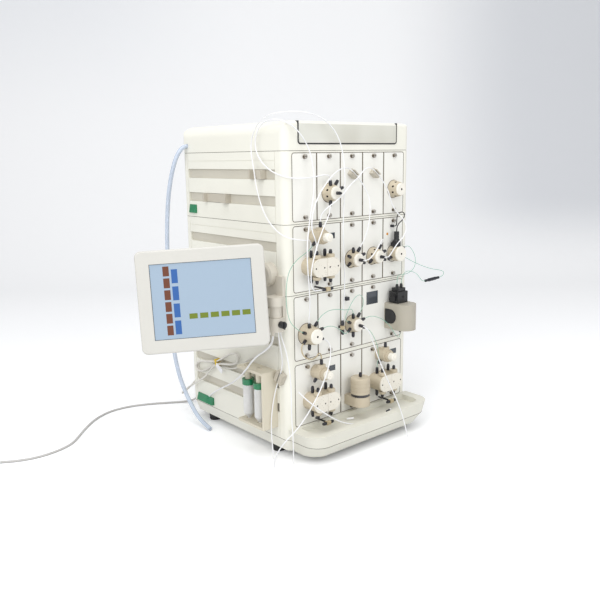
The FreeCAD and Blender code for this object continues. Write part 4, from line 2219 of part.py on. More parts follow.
# Cable from the electrode to its connector on the panel
PANEL_JACK = V(col_x(5) - 8.0, FRONT_Y, row_z(2) + 147.0)
PANEL_JACK_R = 4.0
PANEL_JACK_LENGTH = 9.0
add("fittings", rod(PANEL_JACK_R, PANEL_JACK, FORWARD, PANEL_JACK_LENGTH))
cord(
    "electrode_cable",
    ELECTRODE_CABLE_R,
    [
        (168, -251.5, 586), (168, -251.5, 597), (175, -253, 609), (189, -254, 617), (199, -254, 628),
        (194, -255, 640),
        (178, -254, 641), (166, -255, 632), (160, -258, 618), (160, -259, 602), (160, -246, 602),
    ],
)

os.makedirs("parts", exist_ok=True)
for name, solids in NODES.items():
    shape = solids[0] if len(solids) == 1 else Part.makeCompound(solids)
    shape.exportStep("parts/" + name + ".step")
print(len(NODES), "nodes")
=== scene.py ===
import bpy
from math import cos, pi, radians, sin
from mathutils import Matrix, Vector


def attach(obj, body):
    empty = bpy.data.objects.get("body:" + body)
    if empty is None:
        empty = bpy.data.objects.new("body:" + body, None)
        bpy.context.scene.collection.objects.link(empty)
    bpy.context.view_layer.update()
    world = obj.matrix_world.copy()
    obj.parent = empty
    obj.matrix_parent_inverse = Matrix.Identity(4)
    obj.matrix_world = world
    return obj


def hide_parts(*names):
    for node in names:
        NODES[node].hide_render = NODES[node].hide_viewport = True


# Looks for a bench chromatography system: materials, tubes and cables, the lit screen,
# small trim, a pale studio floor, soft light and the camera.

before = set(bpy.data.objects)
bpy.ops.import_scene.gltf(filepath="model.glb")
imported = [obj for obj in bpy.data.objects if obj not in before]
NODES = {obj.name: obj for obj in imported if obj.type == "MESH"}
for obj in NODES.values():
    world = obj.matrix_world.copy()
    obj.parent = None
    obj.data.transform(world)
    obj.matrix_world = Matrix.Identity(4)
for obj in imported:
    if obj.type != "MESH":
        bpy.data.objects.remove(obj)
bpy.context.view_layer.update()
MM = 0.001

# Camera, as measured in the photograph

CAMERA_PLACE = Vector((-1.3455, -1.5890, 0.8001))
CAMERA_YAW = radians(40.556)
CAMERA_PITCH = radians(11.616)
CAMERA_ROLL = radians(-0.798)
CAMERA_LENS = 41.82
CAMERA_SENSOR = 36.0
CAMERA_NEAR = 0.05
CAMERA_FAR = 60.0


def add_camera():
    """Camera at the photograph's place, looking along its yaw and pitch, with its small roll."""
    level = cos(CAMERA_PITCH)
    ahead = Vector((sin(CAMERA_YAW) * level, cos(CAMERA_YAW) * level, -sin(CAMERA_PITCH)))
    right = Vector((cos(CAMERA_YAW), -sin(CAMERA_YAW), 0))
    up = right.cross(ahead)
    rolled_right = right * cos(CAMERA_ROLL) + up * sin(CAMERA_ROLL)
    rolled_up = -right * sin(CAMERA_ROLL) + up * cos(CAMERA_ROLL)
    data = bpy.data.cameras.new("camera")
    data.lens = CAMERA_LENS
    data.sensor_width = CAMERA_SENSOR
    data.clip_start = CAMERA_NEAR
    data.clip_end = CAMERA_FAR
    camera = bpy.data.objects.new("camera", data)
    turn = Matrix((rolled_right, rolled_up, -ahead)).transposed().to_4x4()
    camera.matrix_world = Matrix.Translation(CAMERA_PLACE) @ turn
    bpy.context.scene.collection.objects.link(camera)
    bpy.context.scene.camera = camera


add_camera()

# Materials


def new_material(name):
    material = bpy.data.materials.new(name)
    material.use_nodes = True
    tree = material.node_tree
    return material, tree, tree.nodes["Principled BSDF"]


def node(tree, kind, **values):
    made = tree.nodes.new(kind)
    for key, value in values.items():
        if key in made.inputs:
            made.inputs[key].default_value = value
        else:
            setattr(made, key, value)
    return made


def noise(tree, scale, detail=2.0, stretch=(1, 1, 1)):
    """Noise in the object's own metres, so that its grain is the same on every piece."""
    place = node(tree, "ShaderNodeTexCoord")
    mapping = node(tree, "ShaderNodeMapping")
    mapping.inputs["Scale"].default_value = stretch
    tree.links.new(place.outputs["Object"], mapping.inputs["Vector"])
    made = node(tree, "ShaderNodeTexNoise", Scale=scale, Detail=detail)
    tree.links.new(mapping.outputs["Vector"], made.inputs["Vector"])
    return made.outputs["Fac"]


def ramp(tree, factor, low, high, **values):
    """Factor that runs from 0 at low to 1 at high."""
    made = node(tree, "ShaderNodeMapRange", **values)
    made.inputs["From Min"].default_value = low
    made.inputs["From Max"].default_value = high
    tree.links.new(factor, made.inputs["Value"])
    return made.outputs["Result"]


def colour_mix(tree, factor, first, second):
    """Two colours mixed by a factor; each is a plain colour or a socket."""
    mix = node(tree, "ShaderNodeMix", data_type="RGBA")
    for socket, colour in (("A", first), ("B", second)):
        if isinstance(colour, tuple):
            mix.inputs[socket].default_value = (*colour, 1)
        else:
            tree.links.new(colour, mix.inputs[socket])
    tree.links.new(factor, mix.inputs["Factor"])
    return mix.outputs["Result"]


def uneven(tree, factor, colour, shade, spread=0.2):
    """Colour that varies with a factor about one half, down to a share of itself."""
    darker = tuple(channel * shade for channel in colour)
    return colour_mix(tree, ramp(tree, factor, 0.5 - spread, 0.5 + spread), darker, colour)


def bump(tree, shader, factor, strength, distance):
    made = node(tree, "ShaderNodeBump", Strength=strength, Distance=distance)
    tree.links.new(factor, made.inputs["Height"])
    tree.links.new(made.outputs["Normal"], shader.inputs["Normal"])


ROUGHNESS_SWING = 0.06


def moulded(name, colour, roughness, grain, depth, shade, patches=9.0, coat=0.0):
    """Painted or moulded surface: fine grain, and slow change of tone over its area."""
    material, tree, shader = new_material(name)
    tone = uneven(tree, noise(tree, patches, 3.0), colour, shade, 0.15)
    tree.links.new(tone, shader.inputs["Base Color"])
    bump(tree, shader, noise(tree, grain, 1.0), 0.25, depth)
    rough = node(tree, "ShaderNodeMapRange")
    rough.inputs["To Min"].default_value = roughness - ROUGHNESS_SWING
    rough.inputs["To Max"].default_value = roughness + ROUGHNESS_SWING
    tree.links.new(noise(tree, patches * 4, 2.0), rough.inputs["Value"])
    tree.links.new(rough.outputs["Result"], shader.inputs["Roughness"])
    shader.inputs["Coat Weight"].default_value = coat
    return material


def speckled(name, colour, fleck, roughness):
    """Moulded face with scattered dark flecks."""
    material, tree, shader = new_material(name)
    place = node(tree, "ShaderNodeTexCoord")
    cells = node(tree, "ShaderNodeTexVoronoi", Scale=170.0)
    tree.links.new(place.outputs["Object"], cells.inputs["Vector"])
    tone = colour_mix(tree, ramp(tree, cells.outputs["Distance"], 0.10, 0.22), fleck, colour)
    tree.links.new(tone, shader.inputs["Base Color"])
    bump(tree, shader, noise(tree, 900.0), 0.2, 0.00005)
    shader.inputs["Roughness"].default_value = roughness
    return material


def brushed(name, colour, stretch, roughness):
    """Metal with fine lines along one direction."""
    material, tree, shader = new_material(name)
    lines = noise(tree, 500.0, 3.0, stretch)
    tree.links.new(uneven(tree, lines, colour, 0.8), shader.inputs["Base Color"])
    bump(tree, shader, lines, 0.2, 0.00004)
    shader.inputs["Metallic"].default_value = 1.0
    shader.inputs["Roughness"].default_value = roughness
    return material


MILKY_IOR = 1.35


def clear_plastic(name, colour, transmission, roughness):
    """Milky plastic that lets some light through, a little uneven in tone."""
    material, tree, shader = new_material(name)
    tree.links.new(uneven(tree, noise(tree, 60.0), colour, 0.92), shader.inputs["Base Color"])
    shader.inputs["Transmission Weight"].default_value = transmission
    shader.inputs["Roughness"].default_value = roughness
    shader.inputs["IOR"].default_value = MILKY_IOR
    return material


def lit(name, colour, glow):
    """Screen colour that is partly its own light, with a faint pixel grain."""
    material, tree, shader = new_material(name)
    tone = uneven(tree, noise(tree, 2600.0, 1.0), colour, 0.96)
    tree.links.new(tone, shader.inputs["Base Color"])
    tree.links.new(tone, shader.inputs["Emission Color"])
    shader.inputs["Emission Strength"].default_value = glow
    shader.inputs["Roughness"].default_value = 0.22
    return material


IVORY = moulded("ivory_paint", (0.84, 0.83, 0.75), 0.5, 1100, 0.00008, 0.975)
PANEL = moulded("panel_paint", (0.86, 0.855, 0.81), 0.42, 1500, 0.00005, 0.975)
# Painted shade: dark brown for the gaps and seams between parts and for the shadow lines, where shade falls.
GAP_SHADE = moulded("painted_gap_shade", (0.13, 0.105, 0.075), 0.7, 900, 0.0001, 0.85, 30)
TRAY = moulded("tray_plastic", (0.74, 0.73, 0.65), 0.5, 1300, 0.00008, 0.96)
BAND = moulded("band_strip", (0.60, 0.57, 0.49), 0.6, 1500, 0.0001, 0.94)
TAN = moulded("tan_moulding", (0.56, 0.49, 0.37), 0.5, 1200, 0.0001, 0.93, 25)
CLIP = moulded("clip_moulding", (0.54, 0.50, 0.42), 0.5, 1200, 0.0001, 0.93, 25)
DETECTOR = moulded("detector_moulding", (0.44, 0.41, 0.34), 0.5, 1200, 0.0001, 0.95, 18)
RACK = moulded("rack_moulding", (0.70, 0.65, 0.53), 0.5, 1200, 0.0001, 0.95, 20)
BRACKET = moulded("bracket_moulding", (0.66, 0.62, 0.54), 0.5, 1200, 0.0001, 0.95, 20)
CREAM = moulded("bezel_cream", (0.62, 0.61, 0.57), 0.42, 1500, 0.00005, 0.975)
FACE = moulded("valve_face", (0.86, 0.83, 0.75), 0.35, 1500, 0.00004, 0.96, 40, 0.2)
HEAD_FACE = speckled("head_face", (0.78, 0.745, 0.66), (0.50, 0.45, 0.37), 0.4)
NUT = moulded("nut_black", (0.012, 0.012, 0.02), 0.32, 700, 0.0002, 0.7, 60, 0.2)
BLACK = moulded("black_moulding", (0.014, 0.014, 0.016), 0.4, 900, 0.0001, 0.75, 40)
RUBBER = moulded("black_rubber", (0.02, 0.02, 0.02), 0.75, 900, 0.0002, 0.8, 40)
TRIM = moulded("trim_dark", (0.03, 0.028, 0.03), 0.3, 900, 0.00005, 0.85, 30, 0.3)
# Painted light: the thumbscrews' steel as a dark shaded copy for their sides, and a light copy, a painted
# highlight, for their front and upward faces.
SCREW_SHADE = brushed("screw_shade", (0.16, 0.13, 0.10), (1, 1, 8), 0.35)
SCREW_HIGHLIGHT = brushed("screw_highlight", (0.62, 0.59, 0.54), (1, 1, 8), 0.3)
# Painted shade: near black for the walls inside holes, where shade falls in the recess.
HOLE_SHADE = moulded("painted_hole_shade", (0.02, 0.018, 0.018), 0.6, 900, 0.0001, 0.8, 40)
STEEL = brushed("steel", (0.6, 0.6, 0.6), (1, 12, 1), 0.28)
SHEET = brushed("chassis_sheet", (0.5, 0.5, 0.5), (1, 6, 1), 0.45)
GREEN = moulded("green_plastic", (0.006, 0.22, 0.085), 0.3, 1200, 0.00004, 0.85, 40, 0.3)
VIAL = clear_plastic("vial_plastic", (0.96, 0.96, 0.95), 0.3, 0.35)
WINDOW = moulded("window_glass", (0.035, 0.045, 0.06), 0.12, 900, 0.00001, 0.8, 30, 0.5)
HOSE = clear_plastic("hose_clear", (0.66, 0.74, 0.87), 0.2, 0.2)
WHITE_TUBE = clear_plastic("tube_white", (0.94, 0.945, 0.96), 0.1, 0.3)
CAPILLARY = moulded("capillary_green", (0.27, 0.52, 0.40), 0.35, 1500, 0.00002, 0.9, 50)
PEEK = moulded("peek_tan", (0.52, 0.43, 0.27), 0.4, 1500, 0.00002, 0.9, 50)
GREY_CABLE = moulded("cable_grey", (0.52, 0.51, 0.50), 0.55, 1500, 0.00005, 0.92, 30)
PALE_CABLE = moulded("cable_pale", (0.72, 0.70, 0.65), 0.5, 1500, 0.00005, 0.92, 30)
BLACK_CABLE = moulded("cable_black", (0.02, 0.02, 0.022), 0.5, 1500, 0.00005, 0.8, 30)
LABEL = moulded("label_white", (0.86, 0.86, 0.88), 0.4, 1500, 0.00003, 0.95, 60)
TIE = moulded("tie_yellow", (0.72, 0.50, 0.03), 0.45, 1500, 0.00004, 0.9, 60)
MARK = moulded("mark_orange", (0.70, 0.30, 0.01), 0.4, 1500, 0.00003, 0.9, 60)
SCREEN_FIELD = lit("screen_field", (0.27, 0.345, 0.43), 0.38)


def plate_material():
    """Name plate: warm grey with soft upright streaks of light."""
    material, tree, shader = new_material("name_plate")
    streaks = noise(tree, 9.0, 1.0, (1, 1, 0.5))
    tone = colour_mix(tree, ramp(tree, streaks, 0.35, 0.65), (0.57, 0.56, 0.49), (0.70, 0.70, 0.64))
    tree.links.new(tone, shader.inputs["Base Color"])
    bump(tree, shader, noise(tree, 1300.0), 0.15, 0.00004)
    shader.inputs["Roughness"].default_value = 0.4
    return material


PLATE = plate_material()
# Painted highlight: a lighter copy of the plate for its upward faces, where light from above falls.
PLATE_HIGHLIGHT = moulded("plate_highlight", (0.80, 0.79, 0.73), 0.35, 1300, 0.00004, 0.96)

PAINTS = {
    IVORY: (
        "lower_tier_shell", "middle_tier_shell", "upper_tier_shell", "cap_cover", "base_pan", "rear_panels",
    ),
    PANEL: ("module_panels",),
    TRAY: ("drip_tray", "drip_tray_base"),
    BAND: ("accessory_rails",),
    TAN: ("valve_heads", "pump_heads", "pump_valve_bodies", "mixer_housing"),
    CLIP: ("tube_clips",),
    DETECTOR: ("detector_housing",),
    RACK: ("tube_rack",),
    BRACKET: ("display_yoke", "display_arm", "arm_bracket"),
    CREAM: ("display_bezel", "display_housing"),
    FACE: ("valve_faces", "pump_1_purge_knob", "pump_2_purge_knob", "pump_3_purge_knob", "mixer_stirrer"),
    HEAD_FACE: ("pump_head_plates",),
    NUT: ("fittings", "inline_connector"),
    BLACK: (
        "fan_frame", "fan_rotor", "power_inlet", "power_switch", "ph_electrode", "flow_cell", "arm_lock_knob",
    ),
    RUBBER: ("rubber_feet",),
    TRIM: ("nameplate_frame",),
    PLATE: ("nameplate",),
    # Painted shade: the thumbscrews start in the dark shaded copy of their steel.
    SCREW_SHADE: ("thumbscrews",),
    STEEL: ("inject_valve_rotor", "pump_pistons_left", "pump_pistons_right"),
    SHEET: ("module_chassis",),
    GREEN: ("green_tabs", "tube_caps"),
    VIAL: ("sample_tubes",),
    WINDOW: ("status_windows",),
    GREY_CABLE: ("mains_plug",),
    SCREEN_FIELD: ("display_screen",),
}


def paint_nodes():
    """Give each CAD node its material in place of its plain one."""
    for material, names in PAINTS.items():
        for name in names:
            slots = NODES[name].data.materials
            slots.clear()
            slots.append(material)


def paint_faces(name, material, test):
    """Give another material to the faces that pass a test on their middle in mm and their normal."""
    mesh = NODES[name].data
    mesh.materials.append(material)
    index = len(mesh.materials) - 1
    for face in mesh.polygons:
        if test(face.center / MM, face.normal):
            face.material_index = index


# Sizes of the part that the looks follow, in millimetres

FRONT_Y = -237.0
BASE_Z = 88.0
ROW_PITCH = 183.5
COLUMN_PITCH = 84.0
COLUMNS = 5
PANEL_HEIGHT = 170.5
VALVE_RISE = 68.0
PORTS = 8
VALVES = [(1, 2), (1, 5), (2, 3), (2, 4), (3, 3)]
INJECT_VALVE = (3, 1)
STRAIGHT_HEAD = (2, 5)
PUMPS = [(-136.5, 2), (-136.5, 4), (115.5, 4)]
HEAD_SIZES = (24.5, 19.0, 26.0)
INJECT_SIZES = (28.5, 22.0, 40.0)
OUTWARD = Vector((0, -1, 0))


def row_z(row):
    return BASE_Z + (4 - row) * ROW_PITCH


def col_x(column):
    return (column - 3) * COLUMN_PITCH


def valve_place(row, column, out=0.0):
    """Middle of a valve on its panel, or a distance in front of it."""
    return Vector((col_x(column), FRONT_Y, row_z(row) + VALVE_RISE)) + OUTWARD * out


def within(value, low, high):
    return low < value < high


def in_box(place, middle, half):
    return all(abs(place[axis] - middle[axis]) < half[axis] for axis in range(3))


def near_axis(place, start, direction, radius, low, high):
    """Whether a place lies in a round hole along an axis."""
    offset = place - start
    along = offset.dot(direction)
    return low < along < high and (offset - direction * along).length < radius


def port_axis(centre, index, sizes, flange=3.0, share=0.55):
    """Seat and direction of a port round a tapered valve head: base and neck radius, and length."""
    base_r, neck_r, length = sizes
    angle = radians((index + 0.5) * 360 / PORTS)
    radial = Vector((sin(angle), 0, cos(angle)))
    seat = centre + radial * (base_r + (neck_r - base_r) * share)
    seat += OUTWARD * (flange + (length - flange) * share)
    lean = max((base_r - neck_r) / (length - flange), 0.35)
    return seat, (radial + OUTWARD * lean).normalized()


# Places of the small details, in millimetres

TRAY_SEAM = 54.5
ROW_SEAM = 177.0
SEAM_LOW = 1.25
SEAM_HIGH = 0.05
BAY_HALF_WIDTH = 212.0
BAY_DEPTH = (0.2, 14.0)
SIDEWAYS = 0.5
PORT_R = 3.3
DISC_OUT = 31.5
INJECT_DISC_OUT = 45.5
STRAIGHT_DISC_OUT = 34.5
PUMP_SCREW_R = 2.5
PUMP_SCREWS = (-38.5, -9.5, 9.5, 38.5)
PUMP_SCREW_OUT = 50.0
PUMP_SCREW_RISE = 65.0
PUMP_TEE_OUT = 49.0
PUMP_TEE_RISE = 8.0
PUMP_TEE_HALF = (7.1, 5.1, 5.1)
VALVE_TEE = (-48, -251, 339)
VALVE_TEE_HALF = (4.6, 4.6, 5.1)
SHUTTER_X = 135.4
MIXER_BAND = (50.2, 57.8)
SCREW_FACE_OUT = 7.5
SCREW_LIT_ABOVE = 0.55
PLATE_HIGHLIGHT_ABOVE = 0.3


def hole_test(holes, radius, deep, shallow):
    """Test for faces in round holes, each with its start and its direction outward."""
    def test(place, normal):
        return any(near_axis(place, start, out, radius, deep, shallow) for start, out in holes)

    return test


def paint_details():
    """Painted shade in gaps and holes, dark bands, tan middles of tees, the black shutter plate, and painted
    highlights.
    """
    seams = [TRAY_SEAM] + [row_z(row) + ROW_SEAM for row in (3, 2, 1)]

    def seam(place, normal):
        return any(within(place.z, level - SEAM_LOW, level + SEAM_HIGH) for level in seams)

    def sideways(place, normal):
        return abs(normal.y) < SIDEWAYS

    def shell(place, normal):
        in_bay = abs(place.x) < BAY_HALF_WIDTH and within(place.y - FRONT_Y, *BAY_DEPTH)
        return seam(place, normal) or (in_bay and sideways(place, normal))

    # Painted shade: dark brown on the faces in the seams between tiers and on the side faces in the bays.
    for name in ("lower_tier_shell", "middle_tier_shell", "upper_tier_shell"):
        paint_faces(name, GAP_SHADE, shell)
    for name in ("base_pan", "drip_tray_base"):
        paint_faces(name, GAP_SHADE, seam)
    # Painted shade: dark brown on the panels' side faces, in the gaps between neighbours.
    paint_faces("module_panels", GAP_SHADE, sideways)

    # Painted shade: the walls of the port holes, of the holes in the valve faces and of the screw holes in
    # the pump heads are painted near black.
    ports = [port_axis(valve_place(*valve), index, HEAD_SIZES) for valve in VALVES for index in range(PORTS)]
    ports += [port_axis(valve_place(*INJECT_VALVE), index, INJECT_SIZES) for index in range(PORTS)]
    paint_faces("valve_heads", HOLE_SHADE, hole_test(ports, PORT_R, -8, -0.4))

    discs = [valve_place(*valve, DISC_OUT) for valve in VALVES]
    discs += [valve_place(*INJECT_VALVE, INJECT_DISC_OUT), valve_place(*STRAIGHT_HEAD, STRAIGHT_DISC_OUT)]
    paint_faces("valve_faces", HOLE_SHADE, hole_test([(disc, OUTWARD) for disc in discs], PORT_R, -9, -0.2))

    screws = []
    tees = []
    for x, row in PUMPS:
        for dx in PUMP_SCREWS:
            screws.append((Vector((x + dx, FRONT_Y - PUMP_SCREW_OUT, row_z(row) + PUMP_SCREW_RISE)), OUTWARD))
        tees.append(Vector((x, FRONT_Y - PUMP_TEE_OUT, row_z(row) + PUMP_TEE_RISE)))
    paint_faces("pump_head_plates", HOLE_SHADE, hole_test(screws, PUMP_SCREW_R, -4, -0.2))

    def joint_body(place, normal):
        at_pump = any(in_box(place, tee, PUMP_TEE_HALF) for tee in tees)
        return at_pump or in_box(place, VALVE_TEE, VALVE_TEE_HALF)

    # Painted highlight: the front and upward faces of the thumbscrews take the light copy of their steel.
    def screw_highlight_face(place, normal):
        return place.y < FRONT_Y - SCREW_FACE_OUT or normal.z > SCREW_LIT_ABOVE

    paint_faces("fittings", PEEK, joint_body)
    paint_faces("detector_housing", BLACK, lambda place, normal: place.x < SHUTTER_X)
    paint_faces("mixer_housing", TRIM, lambda place, normal: within(place.z - row_z(4), *MIXER_BAND))
    # Painted highlight on the name plate's upward faces.
    paint_faces("nameplate", PLATE_HIGHLIGHT, lambda place, normal: normal.z > PLATE_HIGHLIGHT_ABOVE)
    paint_faces("thumbscrews", SCREW_HIGHLIGHT, screw_highlight_face)


paint_nodes()
paint_details()

# Meshes of the small trim; their outlines are given as x and z in millimetres


def mesh_piece(name, vertices, faces, material, body="cabinet"):
    mesh = bpy.data.meshes.new(name)
    mesh.from_pydata(vertices, [], faces)
    mesh.validate()
    mesh.materials.append(material)
    piece = bpy.data.objects.new(name, mesh)
    bpy.context.scene.collection.objects.link(piece)
    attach(piece, body)


def round_outline(left, right, low, high, radius, steps=6):
    """Outline of a rectangle with round corners."""
    corners = [(right - radius, high - radius, 0), (left + radius, high - radius, 90)]
    corners += [(left + radius, low + radius, 180), (right - radius, low + radius, 270)]
    outline = []
    for x, z, start in corners:
        for step in range(steps + 1):
            angle = radians(start + 90 * step / steps)
            outline.append((x + radius * cos(angle), z + radius * sin(angle)))
    return outline


def circle_outline(x, z, radius, sides):
    turns = [2 * pi * side / sides for side in range(sides)]
    return [(x + radius * cos(turn), z + radius * sin(turn)) for turn in turns]


def add_ring(vertices, faces, inner, outer, front, back):
    """Closed band between two outlines of as many points."""
    base = len(vertices)
    count = len(inner)
    for outline in (inner, outer):
        for y in (front, back):
            vertices.extend((x * MM, y * MM, z * MM) for x, z in outline)
    for i in range(count):
        j = (i + 1) % count
        loops = [base, base + count, base + 3 * count, base + 2 * count]
        for first, second in zip(loops, loops[1:] + loops[:1]):
            faces.append((first + i, first + j, second + j, second + i))


def add_slab(vertices, faces, outline, front, back):
    """Closed slab with one outline."""
    base = len(vertices)
    count = len(outline)
    for y in (front, back):
        vertices.extend((x * MM, y * MM, z * MM) for x, z in outline)
    for i in range(count):
        j = (i + 1) % count
        faces.append((base + j, base + i, base + count + i, base + count + j))
    faces.append(tuple(range(base, base + count)))
    faces.append(tuple(range(base + 2 * count - 1, base + count - 1, -1)))


def box_piece(name, middle, size, material, turn=None):
    """Block with its middle and size in millimetres, turned about its middle."""
    turn = turn or Matrix.Identity(4)
    vertices = []
    for x in (-0.5, 0.5):
        for y in (-0.5, 0.5):
            for z in (-0.5, 0.5):
                place = turn @ Vector((x * size[0], y * size[1], z * size[2])) + Vector(middle)
                vertices.append(place * MM)
    faces = [(0, 1, 3, 2), (4, 6, 7, 5), (0, 4, 5, 1), (2, 3, 7, 6), (0, 2, 6, 4), (1, 5, 7, 3)]
    mesh_piece(name, vertices, faces, material)


ROD_SIDES = 16


def rod_piece(name, start, end, radius, material):
    """Round rod between two places in millimetres."""
    start, end = Vector(start), Vector(end)
    turn = (end - start).to_track_quat("Z", "X").to_matrix()
    vertices = []
    for place in (start, end):
        for side in range(ROD_SIDES):
            angle = 2 * pi * side / ROD_SIDES
            offset = turn @ Vector((radius * cos(angle), radius * sin(angle), 0))
            vertices.append((place + offset) * MM)
    faces = []
    for i in range(ROD_SIDES):
        j = (i + 1) % ROD_SIDES
        faces.append((i, j, ROD_SIDES + j, ROD_SIDES + i))
    faces += [tuple(range(ROD_SIDES))[::-1], tuple(range(ROD_SIDES, 2 * ROD_SIDES))]
    mesh_piece(name, vertices, faces, material)


# Dark shadow lines round the panels and the valve heads

PANEL_COLUMNS = {1: (1, 2, 3, 4, 5), 2: (1, 3, 4, 5), 3: (1, 2, 3, 4), 4: (1, 3, 4)}
LINE_PROUD = 0.15
LINE_DEPTH = 1.2
STRIP_HALF = 1.9
GRID_EDGE = COLUMNS * COLUMN_PITCH / 2 - 1.25
RING_PROUD = 0.4
RING_INSIDE = 0.5
RING_OUTSIDE = 1.3
RING_SIDES = 40


def shadow_lines():
    """Painted shadow: a dark line round each row of panels, and a dark strip between neighbours."""
    vertices = []
    faces = []
    front = FRONT_Y - LINE_PROUD
    back = front + LINE_DEPTH
    for row, columns in PANEL_COLUMNS.items():
        low = row_z(row)
        high = low + PANEL_HEIGHT
        inner = round_outline(-GRID_EDGE + 0.5, GRID_EDGE - 0.5, low + 0.3, high - 0.3, 6.2)
        outer = round_outline(-GRID_EDGE - 1.6, GRID_EDGE + 1.2, low - 1.2, high + 1.2, 8.0)
        add_ring(vertices, faces, inner, outer, front, back)
        for column in columns[1:]:
            x = col_x(column) - COLUMN_PITCH / 2
            strip = round_outline(x - STRIP_HALF, x + STRIP_HALF, low + 0.3, high - 0.3, 0.4, 1)
            add_slab(vertices, faces, strip, front, back)
    mesh_piece("panel_shadow_lines", vertices, faces, GAP_SHADE)


def valve_rings():
    """A thin dark ring of painted shadow round the foot of each valve head."""
    vertices = []
    faces = []
    front = FRONT_Y - RING_PROUD
    heads = [(valve_place(*valve), HEAD_SIZES[0]) for valve in VALVES + [STRAIGHT_HEAD]]
    heads.append((valve_place(*INJECT_VALVE), INJECT_SIZES[0]))
    for (x, y, z), radius in heads:
        inner = circle_outline(x, z, radius - RING_INSIDE, RING_SIDES)
        outer = circle_outline(x, z, radius + RING_OUTSIDE, RING_SIDES)
        add_ring(vertices, faces, inner, outer, front, front + LINE_DEPTH)
    mesh_piece("valve_shadow_rings", vertices, faces, GAP_SHADE)


shadow_lines()
valve_rings()

# Screen: a pale field with plain tiles in two columns and a row

SCREEN_CENTRE = Vector((-437.9, -162.8, 461.4))
SCREEN_TURN = (
    Matrix.Rotation(radians(-34.7), 4, "Z")
    @ Matrix.Rotation(radians(-7.2), 4, "X")
    @ Matrix.Rotation(radians(-2.46), 4, "Y")
)
SCREEN_FRONT = 2.5
TILE_LIFT = 0.2
HALF_SCREEN = (123.0, 92.25)
SCREEN_EDGE = 1.0


def screen_piece(name, vertices, faces, material):
    """Piece on the screen from a mesh in the screen's own frame."""
    placed = [SCREEN_TURN @ Vector(place) + SCREEN_CENTRE * MM for place in vertices]
    mesh_piece(name, placed, faces, material, "display")


def rectangle(left, right, low, high):
    return [(left, low), (right, low), (right, high), (left, high)]


def screen_tiles(name, material, rects):
    """Thin tiles let into the glass; each is left, right, low and high."""
    vertices = []
    faces = []
    for rect in rects:
        add_slab(vertices, faces, rectangle(*rect), SCREEN_FRONT - TILE_LIFT, SCREEN_FRONT + TILE_LIFT)
    screen_piece(name, vertices, faces, material)


def screen_edge():
    """Dark frame round the field, let into the glass like the tiles."""
    half_x, half_z = HALF_SCREEN
    wide, tall = half_x + SCREEN_EDGE, half_z + SCREEN_EDGE
    vertices = []
    faces = []
    inner = rectangle(-half_x, half_x, -half_z, half_z)
    outer = rectangle(-wide, wide, -tall, tall)
    add_ring(vertices, faces, inner, outer, SCREEN_FRONT - TILE_LIFT, SCREEN_FRONT + TILE_LIFT)
    screen_piece("screen_edge", vertices, faces, BLACK)


def tile_column(left, right, start, pitch, height, count):
    """Tiles below each other, the first one a distance under the screen's upper edge."""
    tops = [HALF_SCREEN[1] - start - pitch * index for index in range(count)]
    return [(left, right, top - height, top) for top in tops]


def screen_picture():
    """Brown and blue columns of tiles, and an olive row."""
    brown = tile_column(-92, -77, 6, 29, 24, 6)
    blue = tile_column(-72, -57, 14, 42, 34, 4)
    olive = [(-36 + 26 * index, -16 + 26 * index, -46, -33) for index in range(6)]
    screen_tiles("screen_tiles_brown", lit("tile_brown", (0.13, 0.045, 0.025), 0.25), brown)
    screen_tiles("screen_tiles_blue", lit("tile_blue", (0.03, 0.10, 0.30), 0.3), blue)
    screen_tiles("screen_tiles_olive", lit("tile_olive", (0.13, 0.17, 0.02), 0.3), olive)


screen_picture()
screen_edge()

# Tie and label on the folded screen cable, loose fittings in the tray, and a mark on a panel

tie_turn = Matrix.Rotation(radians(-19.2 + 90), 4, "X")
label_turn = Matrix.Rotation(radians(28), 4, "X")
box_piece("cable_tie", (-243.5, 78, 208), (15, 22, 7), TIE, tie_turn)
box_piece("cable_label", (-251.5, 58, 196), (1.5, 34, 13), LABEL, label_turn)
rod_piece("loose_fitting_white", (-46, -266, 77.2), (-28, -275, 77.2), 2.6, LABEL)
rod_piece("loose_fitting_pale_end", (88, -303.5, 80), (97, -300.7, 79.5), 2.8, LABEL)
rod_piece("loose_fitting_black_end", (72, -308.5, 81), (88, -303.5, 80), 2.8, NUT)
box_piece("panel_mark", (144, FRONT_Y - 0.6, 580), (6, 1.2, 6), MARK)

# Cords: one spline each, through the same points as the route in the part


SPLINE_STEPS = 6
THIN_RADIUS = 1.0


def spline_piece(name, points, radius, material):
    """Round cord along a smooth spline whose control points are given in millimetres."""
    curve = bpy.data.curves.new(name, "CURVE")
    curve.dimensions = "3D"
    spline = curve.splines.new("NURBS")
    spline.points.add(len(points) - 1)
    for point, (x, y, z) in zip(spline.points, points):
        point.co = (x * MM, y * MM, z * MM, 1)
    spline.order_u = 3
    spline.use_endpoint_u = True
    spline.resolution_u = SPLINE_STEPS
    curve.bevel_depth = radius * MM
    curve.bevel_resolution = 3 if radius > THIN_RADIUS else 1
    curve.use_fill_caps = True
    curve.materials.append(material)
    piece = bpy.data.objects.new(name, curve)
    bpy.context.scene.collection.objects.link(piece)
    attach(piece, "cabinet")
    return piece


def cord(
    name, nodes, radius, material, points,
):
    """A cord that stands for its solids in the part; radius and points in millimetres."""
    piece = spline_piece(name, points, radius, material)
    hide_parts(*nodes)
    [value * MM for value in points[0]]


HOSE_R = 6.25
MAINS_R = 3.25
DISPLAY_CABLE_R = 2.6
SIDE_TUBE_R = 2.3
TUBE_R = 1.6
CAPILLARY_R = 0.8
ELECTRODE_CABLE_R = 1.5

